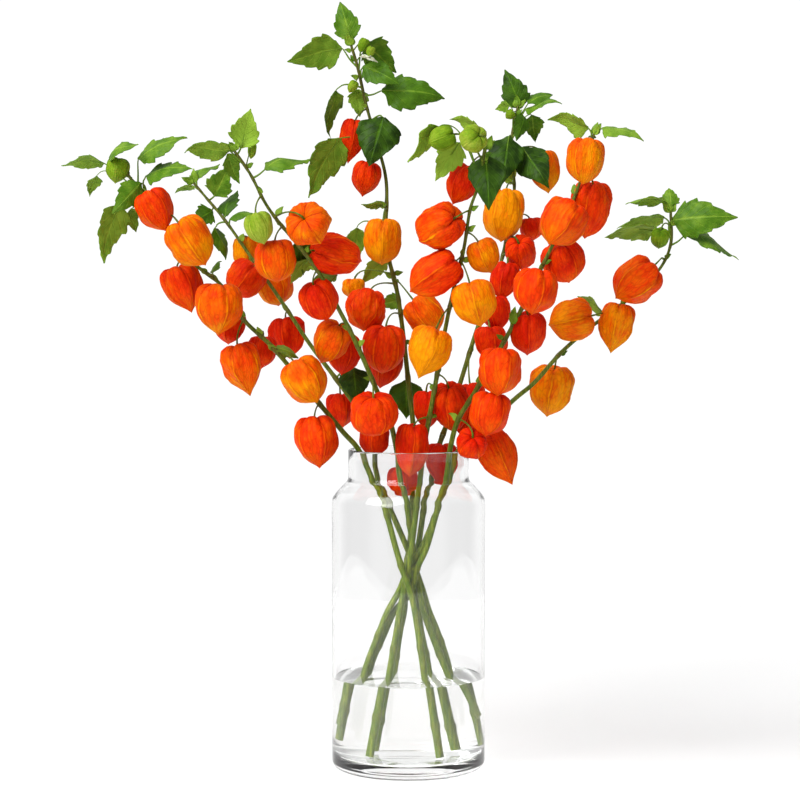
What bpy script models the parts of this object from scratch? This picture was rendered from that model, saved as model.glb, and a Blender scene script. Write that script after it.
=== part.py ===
"""Eight cut stems of Chinese-lantern physalis standing in a tall clear glass vase with water.

The frame has +Z up and its origin at the centre of the vase's flat underside. The front, where the
bouquet shows best, faces -Y. The rows below give places as they show from a viewpoint 2 m in front,
in millimetres on the plane through the vase's axis, each with its depth behind that plane.
"""

import math

import bmesh
import bpy
import numpy as np
from mathutils import Matrix, Vector

MM = 0.001

# The viewpoint that the rows of places are seen from
SIGHT_DISTANCE = 2000.0
SIGHT_HEIGHT = 430.0
SIGHT_X = -7.7
GROUND_BELOW_ROWS = 3.0

# The vase, a mouth-blown cylinder with a short neck, in millimetres
VASE_HEIGHT = 292.0
VASE_RADIUS = 70.0
NECK_RADIUS = 55.0
NECK_LENGTH = 26.0
SHOULDER_HEIGHT = 22.0
GLASS_WALL = 3.0
GLASS_FLOOR = 13.0
FOOT_RADIUS = 62.0
FOOT_ROUND = 8.0
VASE_STEPS = 22

# The water, which ends 0.3 mm short of the glass so that the two solids stay apart
WATER_LEVEL = 84.0
TOUCHING_GAP = 0.3
HOLE_CLEARANCE = 0.6
HOLE_BELOW_STEM = 0.6

# Stems and the thin stalks of the lanterns and leaves
STEM_BASE_RADIUS = 3.2
STEM_TOP_RADIUS = 1.1
STEM_SPACING = 30.0
ROOT_STEP = 1.5
TIP_STEPS = 2
SEAM_ANGLE = 0.8
STALK_RADIUS = 0.9
STALK_POINTS = 4
STALK_SINK = 5.5
ROOT_SPACING = 3.5

# Lanterns: rings of (share of the length from the crown, share of the half width)
LANTERN_RINGS = ((0.0, 0.5), (0.2, 0.94), (0.5, 0.97), (0.8, 0.45))
CROWN_DIMPLE = 0.05
BUD_DIMPLE = 0.0
LANTERN_RIBS = 5
RIB_DEPTH = 0.09
BUD_RINGS = ((0.1, 0.7), (0.45, 1.0), (0.8, 0.55))
BUD_SIDES = 6

# Leaves: stations of (share of the length, share of the half width)
BROAD_STATIONS = ((0.0, 0.22), (0.24, 0.95), (0.5, 0.94), (0.76, 0.56))
NARROW_STATIONS = ((0.0, 0.2), (0.36, 1.0), (0.72, 0.62))
LEAF_THICKNESS = 0.8
LEAF_SHAPE = 0.62
NOTCH_DEPTH = 0.15
BROAD_LEAF_WIDTH = 25.0
LEAF_FOLD = 0.22
LEAF_ARCH = 0.10
PETIOLE_HALF_WIDTH = 1.0
ROOT_THICKENING = 1.5
FLAT_STALK_TURN = 0.35

# Each stem's route from its cut end to its tip: x, height, depth
ROUTES = {
    "stem_1": (
        (24, 8, -22), (14, 85, -20), (6, 140, -19), (1, 160, -19), (-6, 180, -17), (-12, 200, -13),
        (-23, 240, -9), (-33, 262, -8), (-46, 289, -8), (-60, 305, -10), (-85, 335, -16),
        (-122, 380, -24), (-150, 407, -28), (-170, 438, -33), (-197, 460, -36), (-217, 490, -40),
        (-250, 532, -45), (-256, 543, -46),
    ),
    "stem_2": (
        (50, 19, 10), (38, 85, 6), (27, 120, 5), (19, 140, 5), (13, 160, 8), (6, 180, 8),
        (-2, 200, 8), (-19, 240, 14), (-28, 262, 18), (-34, 289, 22), (-40, 315, 28),
        (-60, 345, 34), (-90, 385, 46), (-113, 420, 56), (-135, 452, 65), (-165, 495, 77),
        (-184, 518, 82), (-195, 531, 84),
    ),
    "stem_3": (
        (56, 44, -8), (50, 53, -8), (35, 85, -7), (21, 120, -5), (14, 140, -3), (10, 160, 1),
        (7, 180, 2), (4, 200, 2), (-2, 240, -1), (-8, 265, -6), (-11, 289, -9), (-17, 315, -18),
        (-27, 338, -30), (-45, 380, -48), (-60, 410, -58), (-85, 455, -74), (-125, 505, -90),
        (-143, 538, -99), (-158, 560, -105),
    ),
    "stem_4": (
        (29, 17, 20), (19, 85, 17), (12, 120, 15), (9, 140, 12), (5, 160, 11), (-1, 180, 13),
        (1, 200, 19), (3, 220, 26), (4, 262, 42), (5, 300, 44), (0, 350, 52), (-9, 425, 59),
        (-20, 475, 60), (-20, 530, 60), (-28, 565, 59), (-38, 600, 57), (-46, 635, 56), (-52, 655, 55),
    ),
    "stem_5": (
        (-29, 9, -16), (-17, 85, -14), (-11, 120, -12), (-8, 140, -10), (-4, 160, -9), (0, 180, -12),
        (3, 200, -12), (8, 240, -10), (14, 289, -11), (18, 312, -18), (24, 345, -32), (31, 385, -46),
        (40, 430, -60), (50, 470, -72), (56, 507, -82), (64, 530, -88), (70, 562, -95),
    ),
    "stem_6": (
        (-21, 17, 24), (-13, 85, 21), (-8, 120, 19), (-4, 140, 19), (-2, 160, 22), (5, 180, 21),
        (9, 200, 17), (12, 220, 19), (15, 240, 25), (21, 262, 32), (27, 289, 35), (36, 315, 42),
        (48, 352, 54), (63, 400, 66), (80, 445, 77), (90, 485, 86), (96, 525, 95), (93, 565, 104),
        (99, 600, 112),
    ),
    "stem_7": (
        (-46, 24, 12), (-36, 85, 11), (-22, 120, 7), (-13, 140, 4), (-4, 150, 0), (3, 160, -5),
        (8, 180, -8), (17, 200, -10), (28, 240, -16), (34, 262, -21), (38, 289, -25), (45, 315, -34),
        (60, 340, -43), (82, 378, -54), (102, 415, -62), (119, 450, -70), (138, 490, -79),
        (155, 530, -88), (168, 575, -95),
    ),
    "stem_8": (
        (-51, 37, 0), (-46, 56, 0), (-40, 85, 2), (-27, 120, -1), (-19, 140, -2), (-8, 160, -1),
        (0, 180, -5), (13, 200, -4), (29, 240, -3), (38, 265, -6), (46, 288, -7), (58, 298, -5),
        (95, 333, 0), (115, 350, 6), (140, 378, 10), (167, 401, 14), (198, 424, 19), (226, 450, 24),
        (238, 475, 28), (238, 505, 30),
    ),
}

# Ripe lanterns: crown x and height, tip x and height, width, depth, how far the tip lies behind the
# crown, and the height at which the stalk leaves the stem
LANTERNS = {
    "stem_1": (
        (-237, 521, -220, 487, 37, -66, 0, 522),
        (-208, 494, -184, 456, 43, -72, 0, 500),
        (-211, 453, -197, 413, 42, -24, 0, 462),
        (-172, 437, -173, 392, 47, -58, 0, 448),
        (-161, 414, -164, 384, 30, -4, 0, 422),
        (-156, 382, -144, 337, 41, -30, 0, 407),
        (-132, 390, -134, 362, 30, 4, 0, 392),
        (-103, 367, -83, 331, 43, -46, -4, 378),
        (-86, 316, -81, 271, 43, -30, -6, 331),
    ),
    "stem_2": (
        (-140, 455, -160, 428, 38, 52, 0, 458),
        (-146, 481, -144, 449, 31, 88, 0, 478),
        (-124, 450, -118, 419, 38, 84, 0, 446),
        (-112, 407, -108, 371, 40, 74, 0, 414),
        (-62, 338, -60, 308, 33, 56, 0, 350),
    ),
    "stem_3": (
        (-122, 477, -119, 440, 38, -82, 0, 492),
        (-87, 438, -73, 406, 37, -62, 10, 452),
        (-64, 401, -80, 367, 37, -30, 10, 398),
        (-58, 392, -61, 356, 35, 2, 0, 382),
        (-95, 499, -84, 484, 42, -108, 26, 500),
        (-85, 470, -42, 460, 40, -64, 12, 466),
        (-32, 336, -32, 300, 46, -54, 10, 352),
        (-31, 309, -31, 281, 31, 3, 0, 318),
    ),
    "stem_4": (
        (-23, 496, -24, 456, 38, 34, 0, 508),
        (-37, 430, -41, 396, 41, 36, -12, 440),
        (-50, 443, -50, 425, 24, 66, 0, 448),
        (-21, 399, -24, 357, 43, 24, 4, 412),
        (-19, 379, -26, 344, 36, 62, 0, 384),
        (5, 424, 28, 396, 38, 38, 0, 440),
        (-6, 271, -4, 243, 32, 20, 0, 290),
        (-49, 586, -55, 548, 26, 62, 0, 598),
        (-36, 548, -42, 518, 30, 57, 0, 562),
    ),
    "stem_5": (
        (24, 396, 9, 353, 42, -72, -4, 418),
        (42, 499, 9, 481, 42, -80, 22, 505),
        (42, 459, 1, 432, 39, -76, 0, 464),
        (64, 477, 75, 449, 31, -72, 0, 487),
        (56, 439, 66, 400, 42, -86, -4, 460),
        (37, 345, 41, 304, 35, -11, 20, 358),
        (16, 340, 17, 306, 27, 6, 0, 344),
        (4, 309, 1, 263, 33, -31, 0, 318),
        (55, 544, 40, 511, 31, -66, 0, 555),
    ),
    "stem_6": (
        (88, 522, 84, 477, 43, 66, -4, 530),
        (121, 557, 127, 521, 33, 116, 0, 560),
        (111, 498, 113, 478, 26, 100, 0, 500),
        (100, 477, 105, 455, 31, 64, 22, 478),
        (90, 457, 84, 424, 29, 50, 0, 466),
        (78, 426, 82, 395, 30, 44, 0, 430),
        (74, 399, 76, 368, 35, 30, 0, 408),
        (56, 347, 62, 312, 30, 34, 0, 376),
        (30, 292, 30, 258, 35, 18, 0, 302),
    ),
    "stem_7": (
        (148, 510, 127, 475, 45, -106, -6, 520),
        (168, 529, 160, 480, 40, -72, 8, 538),
        (162, 568, 158, 529, 35, -116, -4, 570),
        (137, 474, 146, 440, 41, -58, 8, 480),
        (118, 450, 112, 411, 42, -92, -4, 458),
        (109, 411, 108, 374, 35, -50, 8, 418),
        (84, 378, 81, 337, 41, -78, -4, 388),
        (77, 338, 70, 300, 40, -64, -4, 348),
        (59, 300, 55, 284, 31, -50, 20, 316),
        (57, 325, 49, 299, 27, 10, 0, 334),
    ),
    "stem_8": (
        (165, 410, 127, 402, 41, -6, 0, 412),
        (221, 454, 188, 426, 44, -6, -4, 462),
        (192, 419, 184, 376, 36, 8, 0, 420),
        (133, 362, 126, 318, 43, 36, 4, 374),
        (72, 300, 95, 256, 40, -20, -4, 308),
    ),
}

# Green lanterns that haven't ripened, in the same columns
BUDS = {
    "stem_1": ((-262, 552, -266, 530, 22, -44, 0, 540),),
    "stem_3": ((-139, 502, -131, 475, 26, -104, 0, 520), (-141, 566, -143, 552, 8, -92, 0, 545)),
    "stem_4": (
        (-48, 622, -54, 612, 10, 42, 0, 625), (-39, 660, -44, 648, 11, 48, 0, 650),
        (-33, 653, -36, 644, 9, 40, 0, 640),
    ),
    "stem_5": ((40, 575, 17, 566, 23, -104, 0, 556), (64, 574, 50, 565, 25, -112, 16, 558)),
    "stem_6": ((95, 595, 88, 589, 10, 96, 0, 590), (91, 547, 89, 530, 18, 104, 0, 552)),
    "stem_8": ((229, 488, 227, 471, 18, 8, 8, 492),),
}

# Leaves: base x and height, tip x and height, the width that shows, depth of the base, and how far
# the tip lies behind the base
LEAVES = {
    "stem_1": (
        (-275, 548, -315, 546, 9, -46, 10), (-271, 554, -245, 566, 12, -48, -20),
        (-245, 552, -200, 571, 20, -46, -10), (-238, 537, -195, 543, 18, -48, -20),
        (-243, 531, -269, 503, 24, -52, -14), (-261, 512, -277, 458, 22, -56, -8),
        (-283, 537, -289, 518, 11, -44, 12), (-252, 507, -247, 486, 12, -40, 16),
        (-121, 381, -100, 372, 9, -20, 12), (-178, 449, -170, 460, 6, -30, 14),
    ),
    "stem_2": (
        (-192, 535, -171, 548, 9, 84, 20), (-176, 519, -164, 545, 26, 84, -16),
        (-166, 501, -155, 524, 16, 78, 24), (-178, 506, -196, 494, 22, 86, -10),
        (-176, 490, -166, 461, 12, 82, 10), (-162, 498, -140, 503, 8, 74, -16),
        (-195, 528, -212, 521, 5, 84, 12), (-50, 363, -47, 331, 28, 24, -6),
    ),
    "stem_3": (
        (-152, 562, -143, 598, 27, -104, -8), (-162, 560, -203, 558, 16, -106, -22),
        (-164, 557, -153, 530, 17, -108, 12), (-130, 543, -88, 552, 13, -98, 24),
        (-97, 481, -95, 447, 23, -66, 26), (-90, 462, -107, 439, 14, -52, 14),
        (-66, 448, -88, 440, 12, -46, 14),
    ),
    "stem_4": (
        (-52, 659, -62, 694, 25, 55, 10), (-60, 652, -110, 640, 31, 55, -10),
        (-38, 657, -11, 630, 31, 58, 24), (-41, 636, -8, 619, 25, 54, -16),
        (-24, 614, 33, 607, 34, 50, 12), (-66, 614, -70, 571, 13, 52, 8),
        (-46, 615, -44, 590, 20, 66, 6), (-23, 590, -36, 545, 40, 44, -10),
        (-62, 571, -90, 517, 30, 48, -6), (-47, 490, -46, 460, 20, 80, 10),
        (-8, 425, -27, 420, 16, 72, 12), (-2, 352, -2, 316, 31, 66, 6),
        (-20, 462, -43, 440, 17, 66, 8), (-23, 509, -43, 511, 7, 48, -8),
    ),
    "stem_5": (
        (66, 577, 37, 588, 13, -94, 14), (29, 581, 0, 549, 16, -96, -14),
        (46, 567, 24, 532, 25, -90, 12), (70, 556, 73, 506, 32, -90, -10),
    ),
    "stem_6": (
        (102, 598, 87, 633, 27, 112, 10), (108, 602, 131, 610, 15, 110, 20),
        (106, 597, 139, 602, 11, 108, -20), (91, 601, 78, 597, 12, 108, 14),
        (103, 592, 98, 569, 16, 104, -12), (112, 592, 115, 567, 21, 106, 14),
        (91, 573, 84, 528, 33, 88, -18), (103, 563, 128, 525, 33, 94, -20),
    ),
    "stem_7": (
        (163, 581, 126, 588, 17, -94, 16), (175, 580, 213, 569, 14, -96, -14),
        (93, 403, 97, 419, 8, -64, -8),
    ),
    "stem_8": (
        (238, 510, 236, 526, 18, 30, 12), (233, 514, 197, 511, 6, 30, -16),
        (232, 500, 189, 489, 10, 30, 18), (227, 487, 178, 481, 13, 28, -16),
        (239, 497, 299, 500, 36, 30, -12), (252, 484, 300, 461, 14, 30, 14),
        (177, 413, 153, 428, 9, 24, 20),
    ),
}

# Colours from the picture, with roughness
STEM_GREEN = (0.16, 0.24, 0.03)
LANTERN_ORANGE = (0.87, 0.10, 0.01)
LEAF_GREEN = (0.09, 0.22, 0.02)
CLEAR_GLASS = (0.93, 0.96, 0.95)
CLEAR_WATER = (0.90, 0.95, 0.94)


def clear_scene():
    for old in list(bpy.data.objects):
        bpy.data.objects.remove(old)


def make_collection(name):
    collection = bpy.data.collections.new(name)
    bpy.context.scene.collection.children.link(collection)
    return collection


def make_material(name, colour, roughness, transmission=0.0):
    material = bpy.data.materials.new(name)
    material.use_nodes = True
    shader = material.node_tree.nodes["Principled BSDF"]
    shader.inputs["Base Color"].default_value = (*colour, 1.0)
    shader.inputs["Roughness"].default_value = roughness
    shader.inputs["Metallic"].default_value = 0.0
    shader.inputs["Transmission Weight"].default_value = transmission
    material.diffuse_color = (*colour, 1.0)
    return material


def add_object(name, mesh, collection, material):
    made = bpy.data.objects.new(name, mesh)
    collection.objects.link(made)
    mesh.materials.clear()
    mesh.materials.append(material)
    return made


def seen(x, height, depth):
    """The place, in metres, of what shows at x and height when it lies depth behind the axis."""
    nearer = 1.0 + depth / SIGHT_DISTANCE
    real_x = SIGHT_X + (x - SIGHT_X) * nearer
    real_z = SIGHT_HEIGHT + (height + GROUND_BELOW_ROWS - SIGHT_HEIGHT) * nearer
    return Vector((real_x, depth, real_z)) * MM


def smooth_path(points, spacing):
    """Points at even spacing along a smooth curve through the given ones."""
    ends = [2 * points[0] - points[1], *points, 2 * points[-1] - points[-2]]
    fine = []
    for a, b, c, d in zip(ends, ends[1:], ends[2:], ends[3:]):
        for step in range(12):
            t = step / 12
            fine.append(
                0.5 * (2 * b + (c - a) * t + (2 * a - 5 * b + 4 * c - d) * t**2
                       + (3 * b - a - 3 * c + d) * t**3)
            )
    fine.append(points[-1])
    runs = [0.0]
    for p, q in zip(fine, fine[1:]):
        runs.append(runs[-1] + (q - p).length)
    count = max(2, round(runs[-1] / spacing) + 1)
    places = np.linspace(0.0, runs[-1], count)
    axes = [np.interp(places, runs, [p[i] for p in fine]) for i in range(3)]
    return [Vector(place) for place in zip(*axes)]


def make_stalk_section(collection):
    """The three-sided section that every thin stalk is swept with."""
    outline = bpy.data.curves.new("stalk_section", "CURVE")
    spline = outline.splines.new("POLY")
    spline.points.add(2)
    for i, point in enumerate(spline.points):
        angle = 2 * math.pi * i / 3
        point.co = (math.cos(angle), math.sin(angle), 0.0, 1.0)
    spline.use_cyclic_u = True
    section = bpy.data.objects.new("stalk_section", outline)
    collection.objects.link(section)
    section.hide_render = True
    section.display_type = "WIRE"


def tube(name, path, radii, resolution, collection):
    """A closed tube along a path, as a mesh whose caps are welded on; a stalk has no resolution."""
    curve = bpy.data.curves.new(name + "_line", "CURVE")
    curve.dimensions = "3D"
    if resolution is None:
        curve.bevel_mode = "OBJECT"
        curve.bevel_object = bpy.data.objects["stalk_section"]
    else:
        curve.bevel_depth = 1.0
        curve.bevel_resolution = resolution
    curve.use_fill_caps = True
    spline = curve.splines.new("POLY")
    spline.points.add(len(path) - 1)
    for point, place, radius in zip(spline.points, path, radii):
        point.co = (*place, 1.0)
        point.radius = radius
    line = bpy.data.objects.new(name + "_line", curve)
    collection.objects.link(line)
    bpy.context.view_layer.update()
    evaluated = line.evaluated_get(bpy.context.evaluated_depsgraph_get())
    mesh = bpy.data.meshes.new_from_object(evaluated)
    bpy.data.objects.remove(line)
    shape = bmesh.new()
    shape.from_mesh(mesh)
    bmesh.ops.remove_doubles(shape, verts=shape.verts, dist=1e-6)
    bmesh.ops.recalc_face_normals(shape, faces=shape.faces)
    shape.to_mesh(mesh)
    shape.free()
    return mesh


def add_closed(name, shape, collection, material):
    """Turns a bmesh into an object with its faces pointing out."""
    bmesh.ops.recalc_face_normals(shape, faces=shape.faces)
    mesh = bpy.data.meshes.new(name)
    shape.to_mesh(mesh)
    shape.free()
    return add_object(name, mesh, collection, material)


def lantern(name, crown, tip, width, turn, form, collection, material):
    """A ribbed papery husk, from the dimple at its crown to its pointed tip."""
    rings, sides, rib_depth, dimple = form
    along = tip - crown
    length = along.length
    facing = along.to_track_quat("Z", "Y").to_matrix().to_4x4()
    place = Matrix.Translation(crown) @ facing
    shape = bmesh.new()
    rows = []
    for share, spread in rings:
        row = []
        for side in range(sides):
            angle = turn + 2 * math.pi * side / sides
            sink = rib_depth * spread * (side % 2)
            radius = width / 2 * (spread - sink)
            spot = Vector((radius * math.cos(angle), radius * math.sin(angle), share * length))
            row.append(shape.verts.new(place @ spot))
        rows.append(row)
    top = shape.verts.new(place @ Vector((0, 0, dimple * length)))
    end = shape.verts.new(place @ Vector((0, 0, length)))
    for i in range(sides):
        j = (i + 1) % sides
        shape.faces.new((top, rows[0][j], rows[0][i]))
        shape.faces.new((end, rows[-1][i], rows[-1][j]))
        for upper, lower in zip(rows, rows[1:]):
            shape.faces.new((upper[i], upper[j], lower[j], lower[i]))
    bmesh.ops.triangulate(shape, faces=shape.faces)
    return add_closed(name, shape, collection, material)


def stalk_path(start, crown, axis):
    """A stalk's route, which leaves the stem sideways and enters the crown along the lantern."""
    reach = (crown - start).length
    out = start.lerp(crown, 0.3) + Vector((0, 0, 0.12 * reach))
    drop = crown - axis * 0.45 * reach
    end = crown + axis * STALK_SINK * MM
    path = []
    for step in range(STALK_POINTS):
        t = step / (STALK_POINTS - 1)
        path.append(
            start * (1 - t) ** 3 + out * 3 * t * (1 - t) ** 2 + drop * 3 * t**2 * (1 - t) + end * t**3
        )
    return path


def leaf_frame(base, tip, shown_width):
    """The blade's directions and true width: a blade that shows narrow is a full one, turned."""
    along = (tip - base).normalized()
    length = (tip - base).length
    across = along.cross(Vector((0, -1, 0))).normalized()
    toward = across.cross(along).normalized()
    width = max(shown_width * MM, LEAF_SHAPE * length)
    turn = math.acos(min(1.0, shown_width * MM / width))
    side = across * math.cos(turn) + toward * math.sin(turn)
    normal = side.cross(along)
    if normal.z < 0:
        normal = -normal
    return along, side, normal, width, length


def leaf(name, root, base, tip, shown_width, collection, material):
    """A toothed blade, folded along its midrib and arched, on a flat stalk rooted in the stem."""
    along, side, normal, width, length = leaf_frame(base, tip, shown_width)
    broad = shown_width >= BROAD_LEAF_WIDTH
    stations = BROAD_STATIONS if broad else NARROW_STATIONS
    thick = normal * LEAF_THICKNESS * MM / 2
    narrow = PETIOLE_HALF_WIDTH * MM
    shape = bmesh.new()

    def spot(share, across):
        lift = LEAF_ARCH * length * math.sin(math.pi * share) - LEAF_FOLD * abs(across)
        return base + along * share * length + side * across + normal * lift

    def pair(place, stretch=1.0):
        return shape.verts.new(place + thick * stretch), shape.verts.new(place - thick * stretch)

    middle = []
    edges = {1: [], -1: []}
    notches = {1: [], -1: []}
    straight_on = (base - root).dot(along) > FLAT_STALK_TURN * (base - root).length
    if straight_on:
        middle.append(pair(root, ROOT_THICKENING))
        for sign in (1, -1):
            edges[sign].append(pair(root + side * sign * narrow, ROOT_THICKENING))
            notches[sign].append(None)
    else:
        stalk = tube(name + "_stalk", stalk_path(root, base, along), [STALK_RADIUS * MM] * STALK_POINTS,
                     None, collection)
        add_object(name + "_stalk", stalk, collection, material)
    for (share, spread), (later, tighter) in zip(stations, (*stations[1:], (1.0, 0.0))):
        middle.append(pair(spot(share, 0.0)))
        for sign in (1, -1):
            edges[sign].append(pair(spot(share, sign * max(narrow, spread * width / 2))))
            cut = share + (later - share) * 0.7
            reach = (spread + (tighter - spread) * 0.55) * (1 - NOTCH_DEPTH) * width / 2
            notches[sign].append(pair(spot(cut, sign * reach)) if broad else None)
    end = pair(spot(1.0, 0.0), 0.8)
    middle.append(end)
    for sign in (1, -1):
        outline = edges[sign] + [end]
        for i, notch in enumerate(notches[sign]):
            corners = [middle[i], outline[i], notch, outline[i + 1], middle[i + 1]]
            corners = [corner_pair for corner_pair in corners if corner_pair is not None]
            if outline[i + 1] is end:
                corners.pop()
            for face in (0, 1):
                hub = corners[-1][face]
                for p, q in zip(corners[:-2], corners[1:-1]):
                    shape.faces.new((hub, p[face], q[face]))
            rim = corners[1:] if outline[i + 1] is end else corners[1:-1]
            for p, q in zip(rim, rim[1:]):
                shape.faces.new((p[0], q[0], q[1]))
                shape.faces.new((p[0], q[1], p[1]))
    for p, q in ((edges[1][0], middle[0]), (middle[0], edges[-1][0])):
        shape.faces.new((p[0], q[0], q[1]))
        shape.faces.new((p[0], q[1], p[1]))
    return add_closed(name, shape, collection, material)


def points_along(path, step):
    """Points at a small step along the straight runs between a tube's own points."""
    spots = []
    for p, q in zip(path, path[1:]):
        count = max(1, round((q - p).length / step))
        spots += [p.lerp(q, i / count) for i in range(count)]
    return spots


def free_root(path, place, taken):
    """The nearest spot on the stem that nothing else is rooted at."""
    spots = sorted(path, key=lambda point: (point - place).length)
    for spot in spots:
        if all((spot - other).length > ROOT_SPACING * MM for other in taken):
            taken.append(spot)
            return spot
    return spots[0]


def at_height(rows, height):
    """The stem's place where it passes a height on its way up."""
    for (x0, z0, y0), (x1, z1, y1) in zip(rows, rows[1:]):
        if z0 <= height <= z1:
            t = (height - z0) / (z1 - z0)
            return seen(x0 + (x1 - x0) * t, height, y0 + (y1 - y0) * t)
    return seen(*rows[-1])


def stem_radii(count):
    drop = STEM_BASE_RADIUS - STEM_TOP_RADIUS
    return [(STEM_BASE_RADIUS - drop * (i / (count - 1)) ** 1.3) * MM for i in range(count)]


def add_hanging(name, rows, kind, path, taken, collection, stalk_green, skin):
    """The lanterns of one stem, each with its stalk."""
    ripe = (LANTERN_RINGS, 2 * LANTERN_RIBS, RIB_DEPTH, CROWN_DIMPLE)
    form = ripe if kind == "lantern" else (BUD_RINGS, BUD_SIDES, 0.0, BUD_DIMPLE)
    for i, (cx, cz, tx, tz, width, depth, lean, leaves_stem) in enumerate(rows):
        crown = seen(cx, cz, depth - lean / 2)
        tip = seen(tx, tz, depth + lean / 2)
        axis = (tip - crown).normalized()
        lantern(f"{name}_{kind}_{i}", crown, tip, width * MM, 0.7 * i, form, collection, skin)
        start = free_root(path, at_height(ROUTES[name], leaves_stem), taken)
        stalk = stalk_path(start, crown, axis)
        radii = [STALK_RADIUS * MM] * STALK_POINTS
        mesh = tube(f"{name}_stalk_{i}", stalk, radii, None, collection)
        add_object(f"{name}_{kind}_stalk_{i}", mesh, collection, stalk_green)


def drop_scraps(shape):
    """Keeps the largest body, and takes away hollows that fusing sealed and loose scraps."""
    left = set(shape.verts)
    bodies = []
    while left:
        body = [left.pop()]
        for vert in body:
            near = {edge.other_vert(vert) for edge in vert.link_edges} & left
            left -= near
            body.extend(near)
        bodies.append(body)
    bodies.sort(key=len)
    for body in bodies[:-1]:
        bmesh.ops.delete(shape, geom=body, context="VERTS")


def fuse(base, others):
    """One closed solid of the base and everything in the collection, which is then emptied."""
    join = base.modifiers.new("join", "BOOLEAN")
    join.operation = "UNION"
    join.operand_type = "COLLECTION"
    join.collection = others
    join.solver = "MANIFOLD"
    bpy.context.view_layer.update()
    evaluated = base.evaluated_get(bpy.context.evaluated_depsgraph_get())
    mesh = bpy.data.meshes.new_from_object(evaluated)
    base.modifiers.remove(join)
    shape = bmesh.new()
    shape.from_mesh(mesh)
    flat = math.radians(SEAM_ANGLE)
    bmesh.ops.dissolve_limit(shape, angle_limit=flat, verts=shape.verts, edges=shape.edges)
    wires = [edge for edge in shape.edges if not edge.link_faces]
    bmesh.ops.delete(shape, geom=wires, context="EDGES")
    drop_scraps(shape)
    bmesh.ops.triangulate(shape, faces=shape.faces)
    shape.to_mesh(mesh)
    shape.free()
    base.data = mesh
    for helper in list(others.objects):
        bpy.data.objects.remove(helper)
    bpy.data.collections.remove(others)


def make_stem(name, parts, stem_green, orange, leaf_green):
    path = smooth_path([seen(*row) for row in ROUTES[name]], STEM_SPACING * MM)
    rootable = points_along(path, ROOT_STEP * MM)[:-TIP_STEPS]
    taken = []
    mesh = tube(name, path, stem_radii(len(path)), 1, parts)
    made = add_object(name, mesh, parts, stem_green)
    repeats = make_collection(name + "_repeats")
    add_hanging(name, LANTERNS[name], "lantern", rootable, taken, repeats, stem_green, orange)
    add_hanging(name, BUDS.get(name, ()), "bud", rootable, taken, repeats, stem_green, leaf_green)
    for i, (bx, bz, tx, tz, width, depth, lean) in enumerate(LEAVES[name]):
        base = seen(bx, bz, depth)
        tip = seen(tx, tz, depth + lean)
        root = free_root(rootable, base, taken)
        leaf(f"{name}_leaf_{i}", root, base, tip, width, repeats, leaf_green)
    fuse(made, repeats)
    return path


def corner(centre_r, centre_z, radius, start, end, steps):
    """Points on a round corner of a turned profile, angles in degrees from +X."""
    points = []
    for i in range(steps + 1):
        angle = math.radians(start + (end - start) * i / steps)
        points.append((centre_r + radius * math.cos(angle), centre_z + radius * math.sin(angle)))
    return points


def wall_profile(radius, neck, top, foot, floor, foot_round, narrowing):
    """One face of the vase's wall, from the rim to the middle of its floor."""
    neck_end = VASE_HEIGHT - NECK_LENGTH
    body_top = neck_end - SHOULDER_HEIGHT
    step = radius - neck
    profile = [(neck, top), (neck, neck_end + narrowing)]
    profile.append((neck + step * 0.16, neck_end - SHOULDER_HEIGHT * 0.2 + narrowing * 0.4))
    profile.append((neck + step * 0.47, neck_end - SHOULDER_HEIGHT * 0.42))
    profile.append((neck + step * 0.82, neck_end - SHOULDER_HEIGHT * 0.7))
    profile.append((radius, body_top - narrowing))
    profile += corner(radius - foot_round, floor + foot_round, foot_round, 0, -60, 2)
    profile += [(foot, floor), (0.0, floor)]
    return profile


def turned(name, profile, collection, material, steps):
    """A solid turned from a profile that runs down its outer side."""
    mesh = bpy.data.meshes.new(name)
    verts = [(r * MM, 0.0, z * MM) for r, z in profile]
    mesh.from_pydata(verts, [(i, i + 1) for i in range(len(verts) - 1)], [])
    made = add_object(name, mesh, collection, material)
    turn = made.modifiers.new("turn", "SCREW")
    turn.steps = steps
    turn.render_steps = steps
    turn.use_merge_vertices = True
    turn.merge_threshold = 0.00001
    return made


def make_vase(parts):
    glass = make_material("clear_glass", CLEAR_GLASS, 0.02, 1.0)
    outer = wall_profile(VASE_RADIUS, NECK_RADIUS, VASE_HEIGHT - 1.5, FOOT_RADIUS, 0.0, FOOT_ROUND, 0.0)
    inner = wall_profile(
        VASE_RADIUS - GLASS_WALL, NECK_RADIUS - GLASS_WALL, VASE_HEIGHT - 1.0, 58.0, GLASS_FLOOR,
        FOOT_ROUND, 1.0,
    )
    rim = [(NECK_RADIUS - GLASS_WALL / 2, VASE_HEIGHT), (NECK_RADIUS - 0.5, VASE_HEIGHT - 0.4)]
    profile = list(reversed(inner)) + rim + outer
    return turned("vase", profile, parts, glass, VASE_STEPS)


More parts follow.
